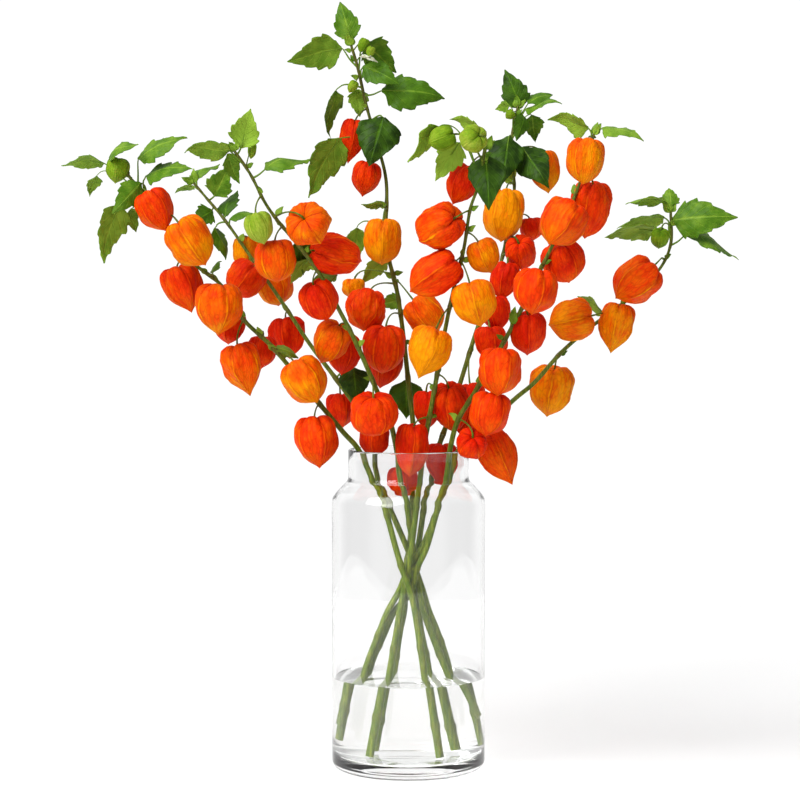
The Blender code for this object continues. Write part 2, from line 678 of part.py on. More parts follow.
def make_water(parts, cutters, paths):
    clear = make_material("water", CLEAR_WATER, 0.0, 1.0)
    radius = VASE_RADIUS - GLASS_WALL - TOUCHING_GAP
    floor = GLASS_FLOOR + TOUCHING_GAP
    profile = [(0.0, WATER_LEVEL), (radius, WATER_LEVEL)]
    profile += corner(radius - FOOT_ROUND - 1, floor + FOOT_ROUND + 1, FOOT_ROUND + 1, 0, -60, 2)
    profile += [(57.0, floor), (0.0, floor)]
    water = turned("water", profile, parts, clear, VASE_STEPS)
    radii = stem_radii(2)
    for name, path in paths.items():
        wet = [point for point in path if point.z < (WATER_LEVEL + 2 * STEM_SPACING) * MM]
        below = (wet[0] - wet[1]).normalized() * HOLE_BELOW_STEM * MM
        wet[0] = wet[0] + below
        hole = tube(name + "_hole", wet, [radii[0] + HOLE_CLEARANCE * MM] * len(wet), 1, cutters)
        cutter = add_object(name + "_hole", hole, cutters, clear)
        cutter.hide_render = True
        cutter.display_type = "WIRE"
    cut = water.modifiers.new("stem_holes", "BOOLEAN")
    cut.operation = "DIFFERENCE"
    cut.operand_type = "COLLECTION"
    cut.collection = cutters
    return water


def main():
    clear_scene()
    parts = make_collection("physalis_bouquet")
    cutters = make_collection("cutters")
    guides = make_collection("guides")
    make_stalk_section(guides)
    make_vase(parts)
    paths = {}
    for name in ROUTES:
        stem_green = make_material(name + "_green", STEM_GREEN, 0.55)
        orange = make_material(name + "_husks", LANTERN_ORANGE, 0.6)
        leaf_green = make_material(name + "_leaves", LEAF_GREEN, 0.5)
        paths[name] = make_stem(name, parts, stem_green, orange, leaf_green)
    make_water(parts, cutters, paths)


main()
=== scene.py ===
"""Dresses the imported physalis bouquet: clear glass, water, knotty stems, papery husks and toothed leaves.

The frame has +Z up and its origin at the centre of the vase's flat underside. The front faces -Y.
"""

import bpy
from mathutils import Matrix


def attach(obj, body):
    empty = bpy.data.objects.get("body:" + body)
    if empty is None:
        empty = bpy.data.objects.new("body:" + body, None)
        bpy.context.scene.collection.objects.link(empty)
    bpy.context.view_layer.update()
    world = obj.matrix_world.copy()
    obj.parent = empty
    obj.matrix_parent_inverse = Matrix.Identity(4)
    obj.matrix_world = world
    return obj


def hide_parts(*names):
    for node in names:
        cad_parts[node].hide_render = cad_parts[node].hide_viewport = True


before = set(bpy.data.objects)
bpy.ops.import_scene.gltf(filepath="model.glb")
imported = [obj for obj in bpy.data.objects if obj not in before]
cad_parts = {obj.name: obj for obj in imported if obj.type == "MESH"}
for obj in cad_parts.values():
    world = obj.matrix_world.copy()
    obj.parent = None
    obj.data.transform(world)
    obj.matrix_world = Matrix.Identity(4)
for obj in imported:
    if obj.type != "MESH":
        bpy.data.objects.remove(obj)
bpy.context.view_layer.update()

import math
import random

import bmesh
import bpy
import numpy as np
from mathutils import Matrix, Vector

bl_info = {
    "name": "Physalis bouquet in a glass vase",
    "version": (1, 0, 0),
    "blender": (4, 5, 0),
    "location": "3D View > Sidebar > Bouquet",
    "description": "Grows cut stems of Chinese-lantern physalis in a glass vase with water",
    "category": "Add Mesh",
}

MM = 0.001
STEM_NAMES = tuple(sorted(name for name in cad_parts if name.startswith("stem_")))

# The viewpoint that the rows of places are seen from, in millimetres; the camera dips by degrees
SIGHT_DISTANCE = 2000.0
SIGHT_HEIGHT = 430.0
SIGHT_X = -7.7
GROUND_BELOW_ROWS = 3.0
CAMERA_DIP = 2.67
CAMERA_LENS = 98.9
SENSOR_WIDTH = 36.0

# The vase and its water, in millimetres
VASE_HEIGHT = 292.0
VASE_RADIUS = 70.0
NECK_RADIUS = 55.0
NECK_LENGTH = 26.0
SHOULDER_HEIGHT = 22.0
GLASS_WALL = 3.0
GLASS_FLOOR = 13.0
FOOT_RADIUS = 62.0
FOOT_ROUND = 8.0
WATER_LEVEL = 84.0
# The shoulder's curve under the neck: how far out and how far down, as shares of the whole shoulder
SHOULDER = ((0.16, 0.2), (0.47, 0.42), (0.82, 0.7))
# The pushed-up centre of the foot: radii, and shares of its rise
PUSH_UP = ((29.0, 0.0), (27.0, 0.5), (22.0, 0.85))

# The CAD's own rule for stems, stalks and roots, in millimetres
STEM_BASE_RADIUS = 3.2
STEM_TOP_RADIUS = 1.1
STEM_SPACING = 30.0
ROOT_STEP = 1.5
TIP_STEPS = 2
STALK_RADIUS = 0.9
STALK_SINK = 5.5
ROOT_SPACING = 3.5
# Heights of the knots on the bare lower part of a stem
BARE_KNOTS = (48.0, 112.0, 178.0, 232.0)
# A leaf stalk is straight where the cosine of its turn into the blade is over this
FLAT_STALK_TURN = 0.35
# A whole leaf's width as a share of its length
LEAF_SHAPE = 0.62

# Finer measures that only this script needs, in millimetres
LINE_SPACING = 2.5
KNOT_REACH = 3.2
BARE_KNOT_SCATTER = 14.0
PROFILE_SPACING = 2.0
INNER_FOOT_RADIUS = 58.0
FOOT_PUSH_UP = 2.0
WATER_OVERLAP = 0.4
WELD = 0.01
LOWEST_LEAFLET = 320.0
# A leaf that shows at least this wide has five teeth on each edge, and a narrower one four
FIVE_TOOTHED_WIDTH = 17.0

# How many there are of each: ribs on a husk, points along a stalk, leaflets at a tip, petals, and
# pairs of side veins in a leaf
RIBS = 5
STALK_POINTS = 14
TIP_LEAFLETS = 4
PETALS = 5
SIDE_VEIN_PAIRS = 6.5

# Seeds, so that every run draws the same chance numbers
KNOT_SEED = 7000
LEAF_SEED = 1000
LEAFLET_SEED = 3000
PETAL_SEED = 5000

# The stage, in metres
FLOOR_SIZE = (1.6, 1.1, 1.0)
FLOOR_DROP = 0.0005
LIT_SPOT = (0.0, 0.0, 0.36)
SUN_PLACE = (-1.6, -1.5, 2.5)
SUN_SPREAD = 52.0
BOX_PLACE = (-1.3, -2.0, 1.1)
BOX_WIDTH = 0.7
# How bright the room is where the glass mirrors or shows it: in front of the vase and behind it
FRONT_MIRRORED = 0.42
BACK_MIRRORED = 0.97
# A little over white, so that the ground behind the bouquet has no edge where the floor ends
BACKDROP = 1.05
WHITE = (1.0, 1.0, 1.0, 1.0)
# Light crosses up to a dozen faces of glass and water before it leaves the vase's thick foot
LIGHT_BOUNCES = 24

# Each stem's route from its cut end to its tip: x, height, depth
ROUTES = {
    "stem_1": (
        (24, 8, -22), (14, 85, -20), (6, 140, -19), (1, 160, -19), (-6, 180, -17), (-12, 200, -13),
        (-23, 240, -9), (-33, 262, -8), (-46, 289, -8), (-60, 305, -10), (-85, 335, -16),
        (-122, 380, -24), (-150, 407, -28), (-170, 438, -33), (-197, 460, -36), (-217, 490, -40),
        (-250, 532, -45), (-256, 543, -46),
    ),
    "stem_2": (
        (50, 19, 10), (38, 85, 6), (27, 120, 5), (19, 140, 5), (13, 160, 8), (6, 180, 8),
        (-2, 200, 8), (-19, 240, 14), (-28, 262, 18), (-34, 289, 22), (-40, 315, 28),
        (-60, 345, 34), (-90, 385, 46), (-113, 420, 56), (-135, 452, 65), (-165, 495, 77),
        (-184, 518, 82), (-195, 531, 84),
    ),
    "stem_3": (
        (56, 44, -8), (50, 53, -8), (35, 85, -7), (21, 120, -5), (14, 140, -3), (10, 160, 1),
        (7, 180, 2), (4, 200, 2), (-2, 240, -1), (-8, 265, -6), (-11, 289, -9), (-17, 315, -18),
        (-27, 338, -30), (-45, 380, -48), (-60, 410, -58), (-85, 455, -74), (-125, 505, -90),
        (-143, 538, -99), (-158, 560, -105),
    ),
    "stem_4": (
        (29, 17, 20), (19, 85, 17), (12, 120, 15), (9, 140, 12), (5, 160, 11), (-1, 180, 13),
        (1, 200, 19), (3, 220, 26), (4, 262, 42), (5, 300, 44), (0, 350, 52), (-9, 425, 59),
        (-20, 475, 60), (-20, 530, 60), (-28, 565, 59), (-38, 600, 57), (-46, 635, 56), (-52, 655, 55),
    ),
    "stem_5": (
        (-29, 9, -16), (-17, 85, -14), (-11, 120, -12), (-8, 140, -10), (-4, 160, -9), (0, 180, -12),
        (3, 200, -12), (8, 240, -10), (14, 289, -11), (18, 312, -18), (24, 345, -32), (31, 385, -46),
        (40, 430, -60), (50, 470, -72), (56, 507, -82), (64, 530, -88), (70, 562, -95),
    ),
    "stem_6": (
        (-21, 17, 24), (-13, 85, 21), (-8, 120, 19), (-4, 140, 19), (-2, 160, 22), (5, 180, 21),
        (9, 200, 17), (12, 220, 19), (15, 240, 25), (21, 262, 32), (27, 289, 35), (36, 315, 42),
        (48, 352, 54), (63, 400, 66), (80, 445, 77), (90, 485, 86), (96, 525, 95), (93, 565, 104),
        (99, 600, 112),
    ),
    "stem_7": (
        (-46, 24, 12), (-36, 85, 11), (-22, 120, 7), (-13, 140, 4), (-4, 150, 0), (3, 160, -5),
        (8, 180, -8), (17, 200, -10), (28, 240, -16), (34, 262, -21), (38, 289, -25), (45, 315, -34),
        (60, 340, -43), (82, 378, -54), (102, 415, -62), (119, 450, -70), (138, 490, -79),
        (155, 530, -88), (168, 575, -95),
    ),
    "stem_8": (
        (-51, 37, 0), (-46, 56, 0), (-40, 85, 2), (-27, 120, -1), (-19, 140, -2), (-8, 160, -1),
        (0, 180, -5), (13, 200, -4), (29, 240, -3), (38, 265, -6), (46, 288, -7), (58, 298, -5),
        (95, 333, 0), (115, 350, 6), (140, 378, 10), (167, 401, 14), (198, 424, 19), (226, 450, 24),
        (238, 475, 28), (238, 505, 30),
    ),
}

# Ripe lanterns: crown x and height, tip x and height, width, depth, how far the tip lies behind the
# crown, and the height at which the stalk leaves the stem
LANTERNS = {
    "stem_1": (
        (-237, 521, -220, 487, 37, -66, 0, 522),
        (-208, 494, -184, 456, 43, -72, 0, 500),
        (-211, 453, -197, 413, 42, -24, 0, 462),
        (-172, 437, -173, 392, 47, -58, 0, 448),
        (-161, 414, -164, 384, 30, -4, 0, 422),
        (-156, 382, -144, 337, 41, -30, 0, 407),
        (-132, 390, -134, 362, 30, 4, 0, 392),
        (-103, 367, -83, 331, 43, -46, -4, 378),
        (-86, 316, -81, 271, 43, -30, -6, 331),
    ),
    "stem_2": (
        (-140, 455, -160, 428, 38, 52, 0, 458),
        (-146, 481, -144, 449, 31, 88, 0, 478),
        (-124, 450, -118, 419, 38, 84, 0, 446),
        (-112, 407, -108, 371, 40, 74, 0, 414),
        (-62, 338, -60, 308, 33, 56, 0, 350),
    ),
    "stem_3": (
        (-122, 477, -119, 440, 38, -82, 0, 492),
        (-87, 438, -73, 406, 37, -62, 10, 452),
        (-64, 401, -80, 367, 37, -30, 10, 398),
        (-58, 392, -61, 356, 35, 2, 0, 382),
        (-95, 499, -84, 484, 42, -108, 26, 500),
        (-85, 470, -42, 460, 40, -64, 12, 466),
        (-32, 336, -32, 300, 46, -54, 10, 352),
        (-31, 309, -31, 281, 31, 3, 0, 318),
    ),
    "stem_4": (
        (-23, 496, -24, 456, 38, 34, 0, 508),
        (-37, 430, -41, 396, 41, 36, -12, 440),
        (-50, 443, -50, 425, 24, 66, 0, 448),
        (-21, 399, -24, 357, 43, 24, 4, 412),
        (-19, 379, -26, 344, 36, 62, 0, 384),
        (5, 424, 28, 396, 38, 38, 0, 440),
        (-6, 271, -4, 243, 32, 20, 0, 290),
        (-49, 586, -55, 548, 26, 62, 0, 598),
        (-36, 548, -42, 518, 30, 57, 0, 562),
    ),
    "stem_5": (
        (24, 396, 9, 353, 42, -72, -4, 418),
        (42, 499, 9, 481, 42, -80, 22, 505),
        (42, 459, 1, 432, 39, -76, 0, 464),
        (64, 477, 75, 449, 31, -72, 0, 487),
        (56, 439, 66, 400, 42, -86, -4, 460),
        (37, 345, 41, 304, 35, -11, 20, 358),
        (16, 340, 17, 306, 27, 6, 0, 344),
        (4, 309, 1, 263, 33, -31, 0, 318),
        (55, 544, 40, 511, 31, -66, 0, 555),
    ),
    "stem_6": (
        (88, 522, 84, 477, 43, 66, -4, 530),
        (121, 557, 127, 521, 33, 116, 0, 560),
        (111, 498, 113, 478, 26, 100, 0, 500),
        (100, 477, 105, 455, 31, 64, 22, 478),
        (90, 457, 84, 424, 29, 50, 0, 466),
        (78, 426, 82, 395, 30, 44, 0, 430),
        (74, 399, 76, 368, 35, 30, 0, 408),
        (56, 347, 62, 312, 30, 34, 0, 376),
        (30, 292, 30, 258, 35, 18, 0, 302),
    ),
    "stem_7": (
        (148, 510, 127, 475, 45, -106, -6, 520),
        (168, 529, 160, 480, 40, -72, 8, 538),
        (162, 568, 158, 529, 35, -116, -4, 570),
        (137, 474, 146, 440, 41, -58, 8, 480),
        (118, 450, 112, 411, 42, -92, -4, 458),
        (109, 411, 108, 374, 35, -50, 8, 418),
        (84, 378, 81, 337, 41, -78, -4, 388),
        (77, 338, 70, 300, 40, -64, -4, 348),
        (59, 300, 55, 284, 31, -50, 20, 316),
        (57, 325, 49, 299, 27, 10, 0, 334),
    ),
    "stem_8": (
        (165, 410, 127, 402, 41, -6, 0, 412),
        (221, 454, 188, 426, 44, -6, -4, 462),
        (192, 419, 184, 376, 36, 8, 0, 420),
        (133, 362, 126, 318, 43, 36, 4, 374),
        (72, 300, 95, 256, 40, -20, -4, 308),
    ),
}

# Green lanterns that haven't ripened, in the same columns
BUDS = {
    "stem_1": ((-262, 552, -266, 530, 22, -44, 0, 540),),
    "stem_3": ((-139, 502, -131, 475, 26, -104, 0, 520), (-141, 566, -143, 552, 8, -92, 0, 545)),
    "stem_4": (
        (-48, 622, -54, 612, 10, 42, 0, 625), (-39, 660, -44, 648, 11, 48, 0, 650),
        (-33, 653, -36, 644, 9, 40, 0, 640),
    ),
    "stem_5": ((40, 575, 17, 566, 23, -104, 0, 556), (64, 574, 50, 565, 25, -112, 16, 558)),
    "stem_6": ((95, 595, 88, 589, 10, 96, 0, 590), (91, 547, 89, 530, 18, 104, 0, 552)),
    "stem_8": ((229, 488, 227, 471, 18, 8, 8, 492),),
}

# Leaves: base x and height, tip x and height, the width that shows, depth of the base, and how far
# the tip lies behind the base
LEAVES = {
    "stem_1": (
        (-275, 548, -315, 546, 9, -46, 10), (-271, 554, -245, 566, 12, -48, -20),
        (-245, 552, -200, 571, 20, -46, -10), (-238, 537, -195, 543, 18, -48, -20),
        (-243, 531, -269, 503, 24, -52, -14), (-261, 512, -277, 458, 22, -56, -8),
        (-283, 537, -289, 518, 11, -44, 12), (-252, 507, -247, 486, 12, -40, 16),
        (-121, 381, -100, 372, 9, -20, 12), (-178, 449, -170, 460, 6, -30, 14),
    ),
    "stem_2": (
        (-192, 535, -171, 548, 9, 84, 20), (-176, 519, -164, 545, 26, 84, -16),
        (-166, 501, -155, 524, 16, 78, 24), (-178, 506, -196, 494, 22, 86, -10),
        (-176, 490, -166, 461, 12, 82, 10), (-162, 498, -140, 503, 8, 74, -16),
        (-195, 528, -212, 521, 5, 84, 12), (-50, 363, -47, 331, 28, 24, -6),
    ),
    "stem_3": (
        (-152, 562, -143, 598, 27, -104, -8), (-162, 560, -203, 558, 16, -106, -22),
        (-164, 557, -153, 530, 17, -108, 12), (-130, 543, -88, 552, 13, -98, 24),
        (-97, 481, -95, 447, 23, -66, 26), (-90, 462, -107, 439, 14, -52, 14),
        (-66, 448, -88, 440, 12, -46, 14),
    ),
    "stem_4": (
        (-52, 659, -62, 694, 25, 55, 10), (-60, 652, -110, 640, 31, 55, -10),
        (-38, 657, -11, 630, 31, 58, 24), (-41, 636, -8, 619, 25, 54, -16),
        (-24, 614, 33, 607, 34, 50, 12), (-66, 614, -70, 571, 13, 52, 8),
        (-46, 615, -44, 590, 20, 66, 6), (-23, 590, -36, 545, 40, 44, -10),
        (-62, 571, -90, 517, 30, 48, -6), (-47, 490, -46, 460, 20, 80, 10),
        (-8, 425, -27, 420, 16, 72, 12), (-2, 352, -2, 316, 31, 66, 6),
        (-20, 462, -43, 440, 17, 66, 8), (-23, 509, -43, 511, 7, 48, -8),
    ),
    "stem_5": (
        (66, 577, 37, 588, 13, -94, 14), (29, 581, 0, 549, 16, -96, -14),
        (46, 567, 24, 532, 25, -90, 12), (70, 556, 73, 506, 32, -90, -10),
    ),
    "stem_6": (
        (102, 598, 87, 633, 27, 112, 10), (108, 602, 131, 610, 15, 110, 20),
        (106, 597, 139, 602, 11, 108, -20), (91, 601, 78, 597, 12, 108, 14),
        (103, 592, 98, 569, 16, 104, -12), (112, 592, 115, 567, 21, 106, 14),
        (91, 573, 84, 528, 33, 88, -18), (103, 563, 128, 525, 33, 94, -20),
    ),
    "stem_7": (
        (163, 581, 126, 588, 17, -94, 16), (175, 580, 213, 569, 14, -96, -14),
        (93, 403, 97, 419, 8, -64, -8),
    ),
    "stem_8": (
        (238, 510, 236, 526, 18, 30, 12), (233, 514, 197, 511, 6, 30, -16),
        (232, 500, 189, 489, 10, 30, 18), (227, 487, 178, 481, 13, 28, -16),
        (239, 497, 299, 500, 36, 30, -12), (252, 484, 300, 461, 14, 30, 14),
        (177, 413, 153, 428, 9, 24, 20),
    ),
}

# How ripe each husk is, in the order of LANTERNS: 0 is yellow, 0.5 orange and 1 deep red
RIPENESS = {
    "stem_1": (0.72, 0.3, 0.7, 0.45, 0.9, 0.5, 0.88, 0.32, 0.72),
    "stem_2": (0.75, 0.12, 0.3, 0.95, 0.9),
    "stem_3": (0.5, 0.9, 0.42, 1.0, 0.35, 0.8, 0.78, 0.92),
    "stem_4": (0.15, 0.66, 0.12, 0.74, 0.92, 0.4, 0.9, 0.88, 0.84),
    "stem_5": (0.08, 0.62, 0.74, 0.26, 0.22, 0.8, 0.92, 0.86, 0.9),
    "stem_6": (0.1, 0.3, 0.9, 0.84, 0.9, 1.0, 0.9, 0.9, 1.0),
    "stem_7": (0.6, 0.74, 0.35, 0.8, 0.72, 0.96, 0.64, 0.76, 0.9, 1.0),
    "stem_8": (0.3, 0.62, 0.26, 0.2, 0.7),
}
# How round each husk is, in the same order: 0 is a pointed heart and 1 a ball
PLUMPNESS = {
    "stem_1": (0.5, 0.9, 0.15, 0.5, 0.8, 0.0, 0.6, 0.9, 0.5),
    "stem_2": (0.9, 0.5, 1.0, 0.6, 0.6),
    "stem_3": (1.0, 0.7, 0.5, 0.6, 0.6, 0.9, 1.0, 0.6),
    "stem_4": (1.0, 0.8, 0.6, 0.9, 0.5, 1.0, 0.8, 0.2, 0.3),
    "stem_5": (0.1, 1.0, 0.9, 0.8, 0.7, 0.6, 0.6, 0.7, 0.4),
    "stem_6": (0.9, 0.5, 0.6, 1.0, 0.6, 0.5, 0.5, 0.6, 0.6),
    "stem_7": (0.9, 0.8, 0.8, 0.9, 0.8, 0.6, 0.9, 0.8, 0.6, 0.5),
    "stem_8": (1.0, 0.8, 0.2, 0.6, 0.1),
}
# Husks whose paper is dry and wrinkled, and by how much more than the others
WRINKLED = {
    ("stem_4", 1): 2.2, ("stem_5", 1): 1.5, ("stem_5", 5): 2.2, ("stem_3", 5): 1.8, ("stem_6", 3): 1.7,
}
# The green husk that is the calyx of the open flower
FLOWERING = ("stem_4", 2)
# How light each leaf is, in the order of LEAVES: 0 is dark and 1 pale; the dark end is old blades' own
# colour and also painted shade on blades that stand in shade
LEAF_SHADES = {
    "stem_1": (0.6, 0.65, 0.6, 0.55, 0.5, 0.55, 0.6, 0.5, 0.7, 0.6),
    "stem_2": (0.6, 0.36, 0.3, 0.34, 0.45, 0.5, 0.5, 0.08),
    "stem_3": (0.95, 0.6, 0.42, 0.6, 0.15, 0.6, 0.4),
    "stem_4": (0.55, 0.52, 0.3, 0.4, 0.42, 0.42, 0.55, 0.1, 0.5, 0.5, 0.4, 0.08, 0.75, 0.6),
    "stem_5": (0.85, 0.9, 0.8, 0.15),
    "stem_6": (0.22, 0.5, 0.6, 0.5, 0.3, 0.26, 0.08, 0.08),
    "stem_7": (0.7, 0.75, 0.4),
    "stem_8": (0.6, 0.7, 0.7, 0.6, 0.55, 0.6, 0.6),
}

# Kinds of node that the trees use often
MATH = "ShaderNodeMath"
VECTOR_MATH = "ShaderNodeVectorMath"
NAMED = "GeometryNodeInputNamedAttribute"
STORE = "GeometryNodeStoreNamedAttribute"


def linear(code):
    """An sRGB hex colour as the linear values that a shader takes."""
    parts = [int(code[i:i + 2], 16) / 255 for i in (0, 2, 4)]
    return tuple(p / 12.92 if p <= 0.04045 else ((p + 0.055) / 1.055) ** 2.4 for p in parts)


def seen(x, height, depth):
    """The place, in metres, of what shows at x and height when it lies depth behind the axis."""
    nearer = 1.0 + depth / SIGHT_DISTANCE
    real_x = SIGHT_X + (x - SIGHT_X) * nearer
    real_z = SIGHT_HEIGHT + (height + GROUND_BELOW_ROWS - SIGHT_HEIGHT) * nearer
    return Vector((real_x, depth, real_z)) * MM


def smooth_path(points, spacing):
    """Points at even spacing along a smooth curve through the given ones."""
    ends = [2 * points[0] - points[1], *points, 2 * points[-1] - points[-2]]
    fine = []
    for a, b, c, d in zip(ends, ends[1:], ends[2:], ends[3:]):
        for step in range(12):
            t = step / 12
            fine.append(
                0.5 * (2 * b + (c - a) * t + (2 * a - 5 * b + 4 * c - d) * t**2
                       + (3 * b - a - 3 * c + d) * t**3)
            )
    fine.append(points[-1])
    runs = [0.0]
    for p, q in zip(fine, fine[1:]):
        runs.append(runs[-1] + (q - p).length)
    count = max(2, round(runs[-1] / spacing) + 1)
    places = np.linspace(0.0, runs[-1], count)
    axes = [np.interp(places, runs, [p[i] for p in fine]) for i in range(3)]
    return [Vector(place) for place in zip(*axes)]


def points_along(path, step):
    """Points at a small step along the straight runs between a path's own points."""
    spots = []
    for p, q in zip(path, path[1:]):
        count = max(1, round((q - p).length / step))
        spots += [p.lerp(q, i / count) for i in range(count)]
    return spots


def free_root(path, place, taken):
    """The nearest spot on the stem that nothing else is rooted at."""
    spots = sorted(path, key=lambda point: (point - place).length)
    for spot in spots:
        if all((spot - other).length > ROOT_SPACING * MM for other in taken):
            taken.append(spot)
            return spot
    return spots[0]


def at_height(rows, height):
    """The stem's place where it passes a height on its way up."""
    for (x0, z0, y0), (x1, z1, y1) in zip(rows, rows[1:]):
        if z0 <= height <= z1:
            t = (height - z0) / (z1 - z0)
            return seen(x0 + (x1 - x0) * t, height, y0 + (y1 - y0) * t)
    return seen(*rows[-1])


def stem_layout(name):
    """Where a stem's husks, green husks and leaves are and where each is rooted, by the CAD's rule."""
    coarse = smooth_path([seen(*row) for row in ROUTES[name]], STEM_SPACING * MM)
    rootable = points_along(coarse, ROOT_STEP * MM)[:-TIP_STEPS]
    taken = []
    husks = []
    for kind, rows in (("ripe", LANTERNS[name]), ("green", BUDS.get(name, ()))):
        for i, (cx, cz, tx, tz, width, depth, lean, leaves_stem) in enumerate(rows):
            crown = seen(cx, cz, depth - lean / 2)
            tip = seen(tx, tz, depth + lean / 2)
            root = free_root(rootable, at_height(ROUTES[name], leaves_stem), taken)
            husks.append((kind, i, crown, tip, width * MM, root))
    leaves = []
    for bx, bz, tx, tz, width, depth, lean in LEAVES[name]:
        base = seen(bx, bz, depth)
        leaves.append((base, seen(tx, tz, depth + lean), width * MM, free_root(rootable, base, taken)))
    return husks, leaves


def stalk_path(start, crown, axis, count):
    """A stalk's route, which leaves the stem sideways and enters the crown along the husk."""
    reach = (crown - start).length
    out = start.lerp(crown, 0.3) + Vector((0, 0, 0.12 * reach))
    drop = crown - axis * 0.45 * reach
    end = crown + axis * STALK_SINK * MM
    path = []
    for step in range(count):
        t = step / (count - 1)
        path.append(
            start * (1 - t) ** 3 + out * 3 * t * (1 - t) ** 2 + drop * 3 * t**2 * (1 - t) + end * t**3
        )
    return path


def leaf_frame(base, tip, shown_width):
    """The blade's directions and true width: a blade that shows narrow is a full one, turned."""
    along = (tip - base).normalized()
    length = (tip - base).length
    across = along.cross(Vector((0, -1, 0))).normalized()
    toward = across.cross(along).normalized()
    width = max(shown_width, LEAF_SHAPE * length)
    turn = math.acos(min(1.0, shown_width / width))
    side = across * math.cos(turn) + toward * math.sin(turn)
    normal = side.cross(along)
    if normal.z < 0:
        side, normal = -side, -normal
    return along, side, normal, width, length


def add_node(tree, kind, inputs=(), **settings):
    """Adds a node; an input takes a value, a socket, or another node's first live output."""
    node = tree.nodes.new(kind)
    for key, value in settings.items():
        setattr(node, key, value)
    live = [socket for socket in node.inputs if socket.enabled]
    pairs = inputs.items() if isinstance(inputs, dict) else enumerate(inputs)
    for place, value in pairs:
        socket = live[place] if isinstance(place, int) else next(s for s in live if s.name == place)
        for given in value if isinstance(value, list) else [value]:
            if isinstance(given, bpy.types.Node):
                given = next(output for output in given.outputs if output.enabled)
            if isinstance(given, bpy.types.NodeSocket):
                tree.links.new(given, socket)
            else:
                socket.default_value = given
    return node


def draw_curve(node, points):
    """Gives a Float Curve node its points."""
    curve = node.mapping.curves[0]
    while len(curve.points) < len(points):
        curve.points.new(0.5, 0.5)
    for point, place in zip(curve.points, points):
        point.location = place
    node.mapping.update()
    return node


def new_tree(name, sizes):
    """An empty geometry tree with named inputs, and the sockets that hand them over."""
    tree = bpy.data.node_groups.new(name, "GeometryNodeTree")
    tree.interface.new_socket("Geometry", in_out="OUTPUT", socket_type="NodeSocketGeometry")
    tree.interface.new_socket("Geometry", in_out="INPUT", socket_type="NodeSocketGeometry")
    tree.interface.new_socket("Material", in_out="INPUT", socket_type="NodeSocketMaterial")
    for label, value in sizes.items():
        kind = "NodeSocketInt" if isinstance(value, int) else "NodeSocketFloat"
        tree.interface.new_socket(label, in_out="INPUT", socket_type=kind).default_value = value
    return tree, tree.nodes.new("NodeGroupInput").outputs


def point_mesh(name, places, edges, columns):
    """Points, with edges or without, that carry the numbers which shape what grows on them."""
    mesh = bpy.data.meshes.new(name)
    mesh.from_pydata(places, edges, [])
    kinds = {1: ("FLOAT", "value"), 3: ("FLOAT_VECTOR", "vector"), 4: ("QUATERNION", "value")}
    for key, column in columns.items():
        column = np.array(column, np.float32).reshape(len(places), -1)
        kind, field = kinds[column.shape[1]]
        mesh.attributes.new(key, kind, "POINT").data.foreach_set(field, column.ravel())
    return mesh


def grown_piece(name, source, tree, values):
    """What a tree grows from a source mesh, as an object with a plain mesh."""
    helper = bpy.data.objects.new(name + "_source", source)
    bpy.context.scene.collection.objects.link(helper)
    modifier = helper.modifiers.new(tree.name, "NODES")
    modifier.node_group = tree
    for socket in tree.interface.items_tree:
        if socket.in_out == "INPUT" and socket.name in values:
            modifier[socket.identifier] = values[socket.name]
    depsgraph = bpy.context.evaluated_depsgraph_get()
    mesh = bpy.data.meshes.new_from_object(
        helper.evaluated_get(depsgraph), preserve_all_data_layers=True, depsgraph=depsgraph
    )
    bpy.data.objects.remove(helper)
    bpy.data.meshes.remove(source)
    mesh.name = name
    piece = bpy.data.objects.new(name, mesh)
    bpy.context.scene.collection.objects.link(piece)
    return piece


def settle(piece, node):
    """Ties a finished piece to the frame."""
    if not piece.data.polygons:
        raise RuntimeError(f"{piece.name} came out empty")
    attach(piece, "root")
    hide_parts(node)


def new_material(name, constants):
    """A material with its tree and its Principled shader, whose constant sockets are set."""
    material = bpy.data.materials.new(name)
    material.use_nodes = True
    shader = material.node_tree.nodes["Principled BSDF"]
    for socket, value in constants.items():
        shader.inputs[socket].default_value = value
    return material, material.node_tree, shader


def fill_ramp(ramp, tones):
    """Gives a Color Ramp node its stops and hands it back."""
    stops = ramp.color_ramp.elements
    while len(stops) < len(tones):
        stops.new(0.5)
    for stop, (share, colour) in zip(stops, tones):
        stop.position = share
        stop.color = (*colour, 1.0)
    return ramp


def blown_glass(settings):
    """Clear soda-lime glass, mouth-blown: a hard polished face with a faint slow wave."""
    material, tree, shader = new_material("blown_soda_glass", {
        "Base Color": (*settings.glass_tint, 1.0), "Roughness": 0.0, "IOR": 1.5,
        "Transmission Weight": 1.0})
    place = add_node(tree, "ShaderNodeTexCoord")
    wave = add_node(tree, "ShaderNodeTexNoise", {
        "Vector": place.outputs["Object"], "Scale": 1 / (40 * MM), "Detail": 1.0})
    bump = add_node(tree, "ShaderNodeBump", {"Strength": 0.3, "Distance": 0.4 * MM, "Height": wave})
    tree.links.new(bump.outputs["Normal"], shader.inputs["Normal"])
    return material


def still_water(settings):
    """Tap water: almost without colour, mirror-smooth."""
    return new_material("tap_water", {
        "Base Color": (*settings.water_tint, 1.0), "Roughness": 0.0, "IOR": 1.333,
        "Transmission Weight": 1.0})[0]


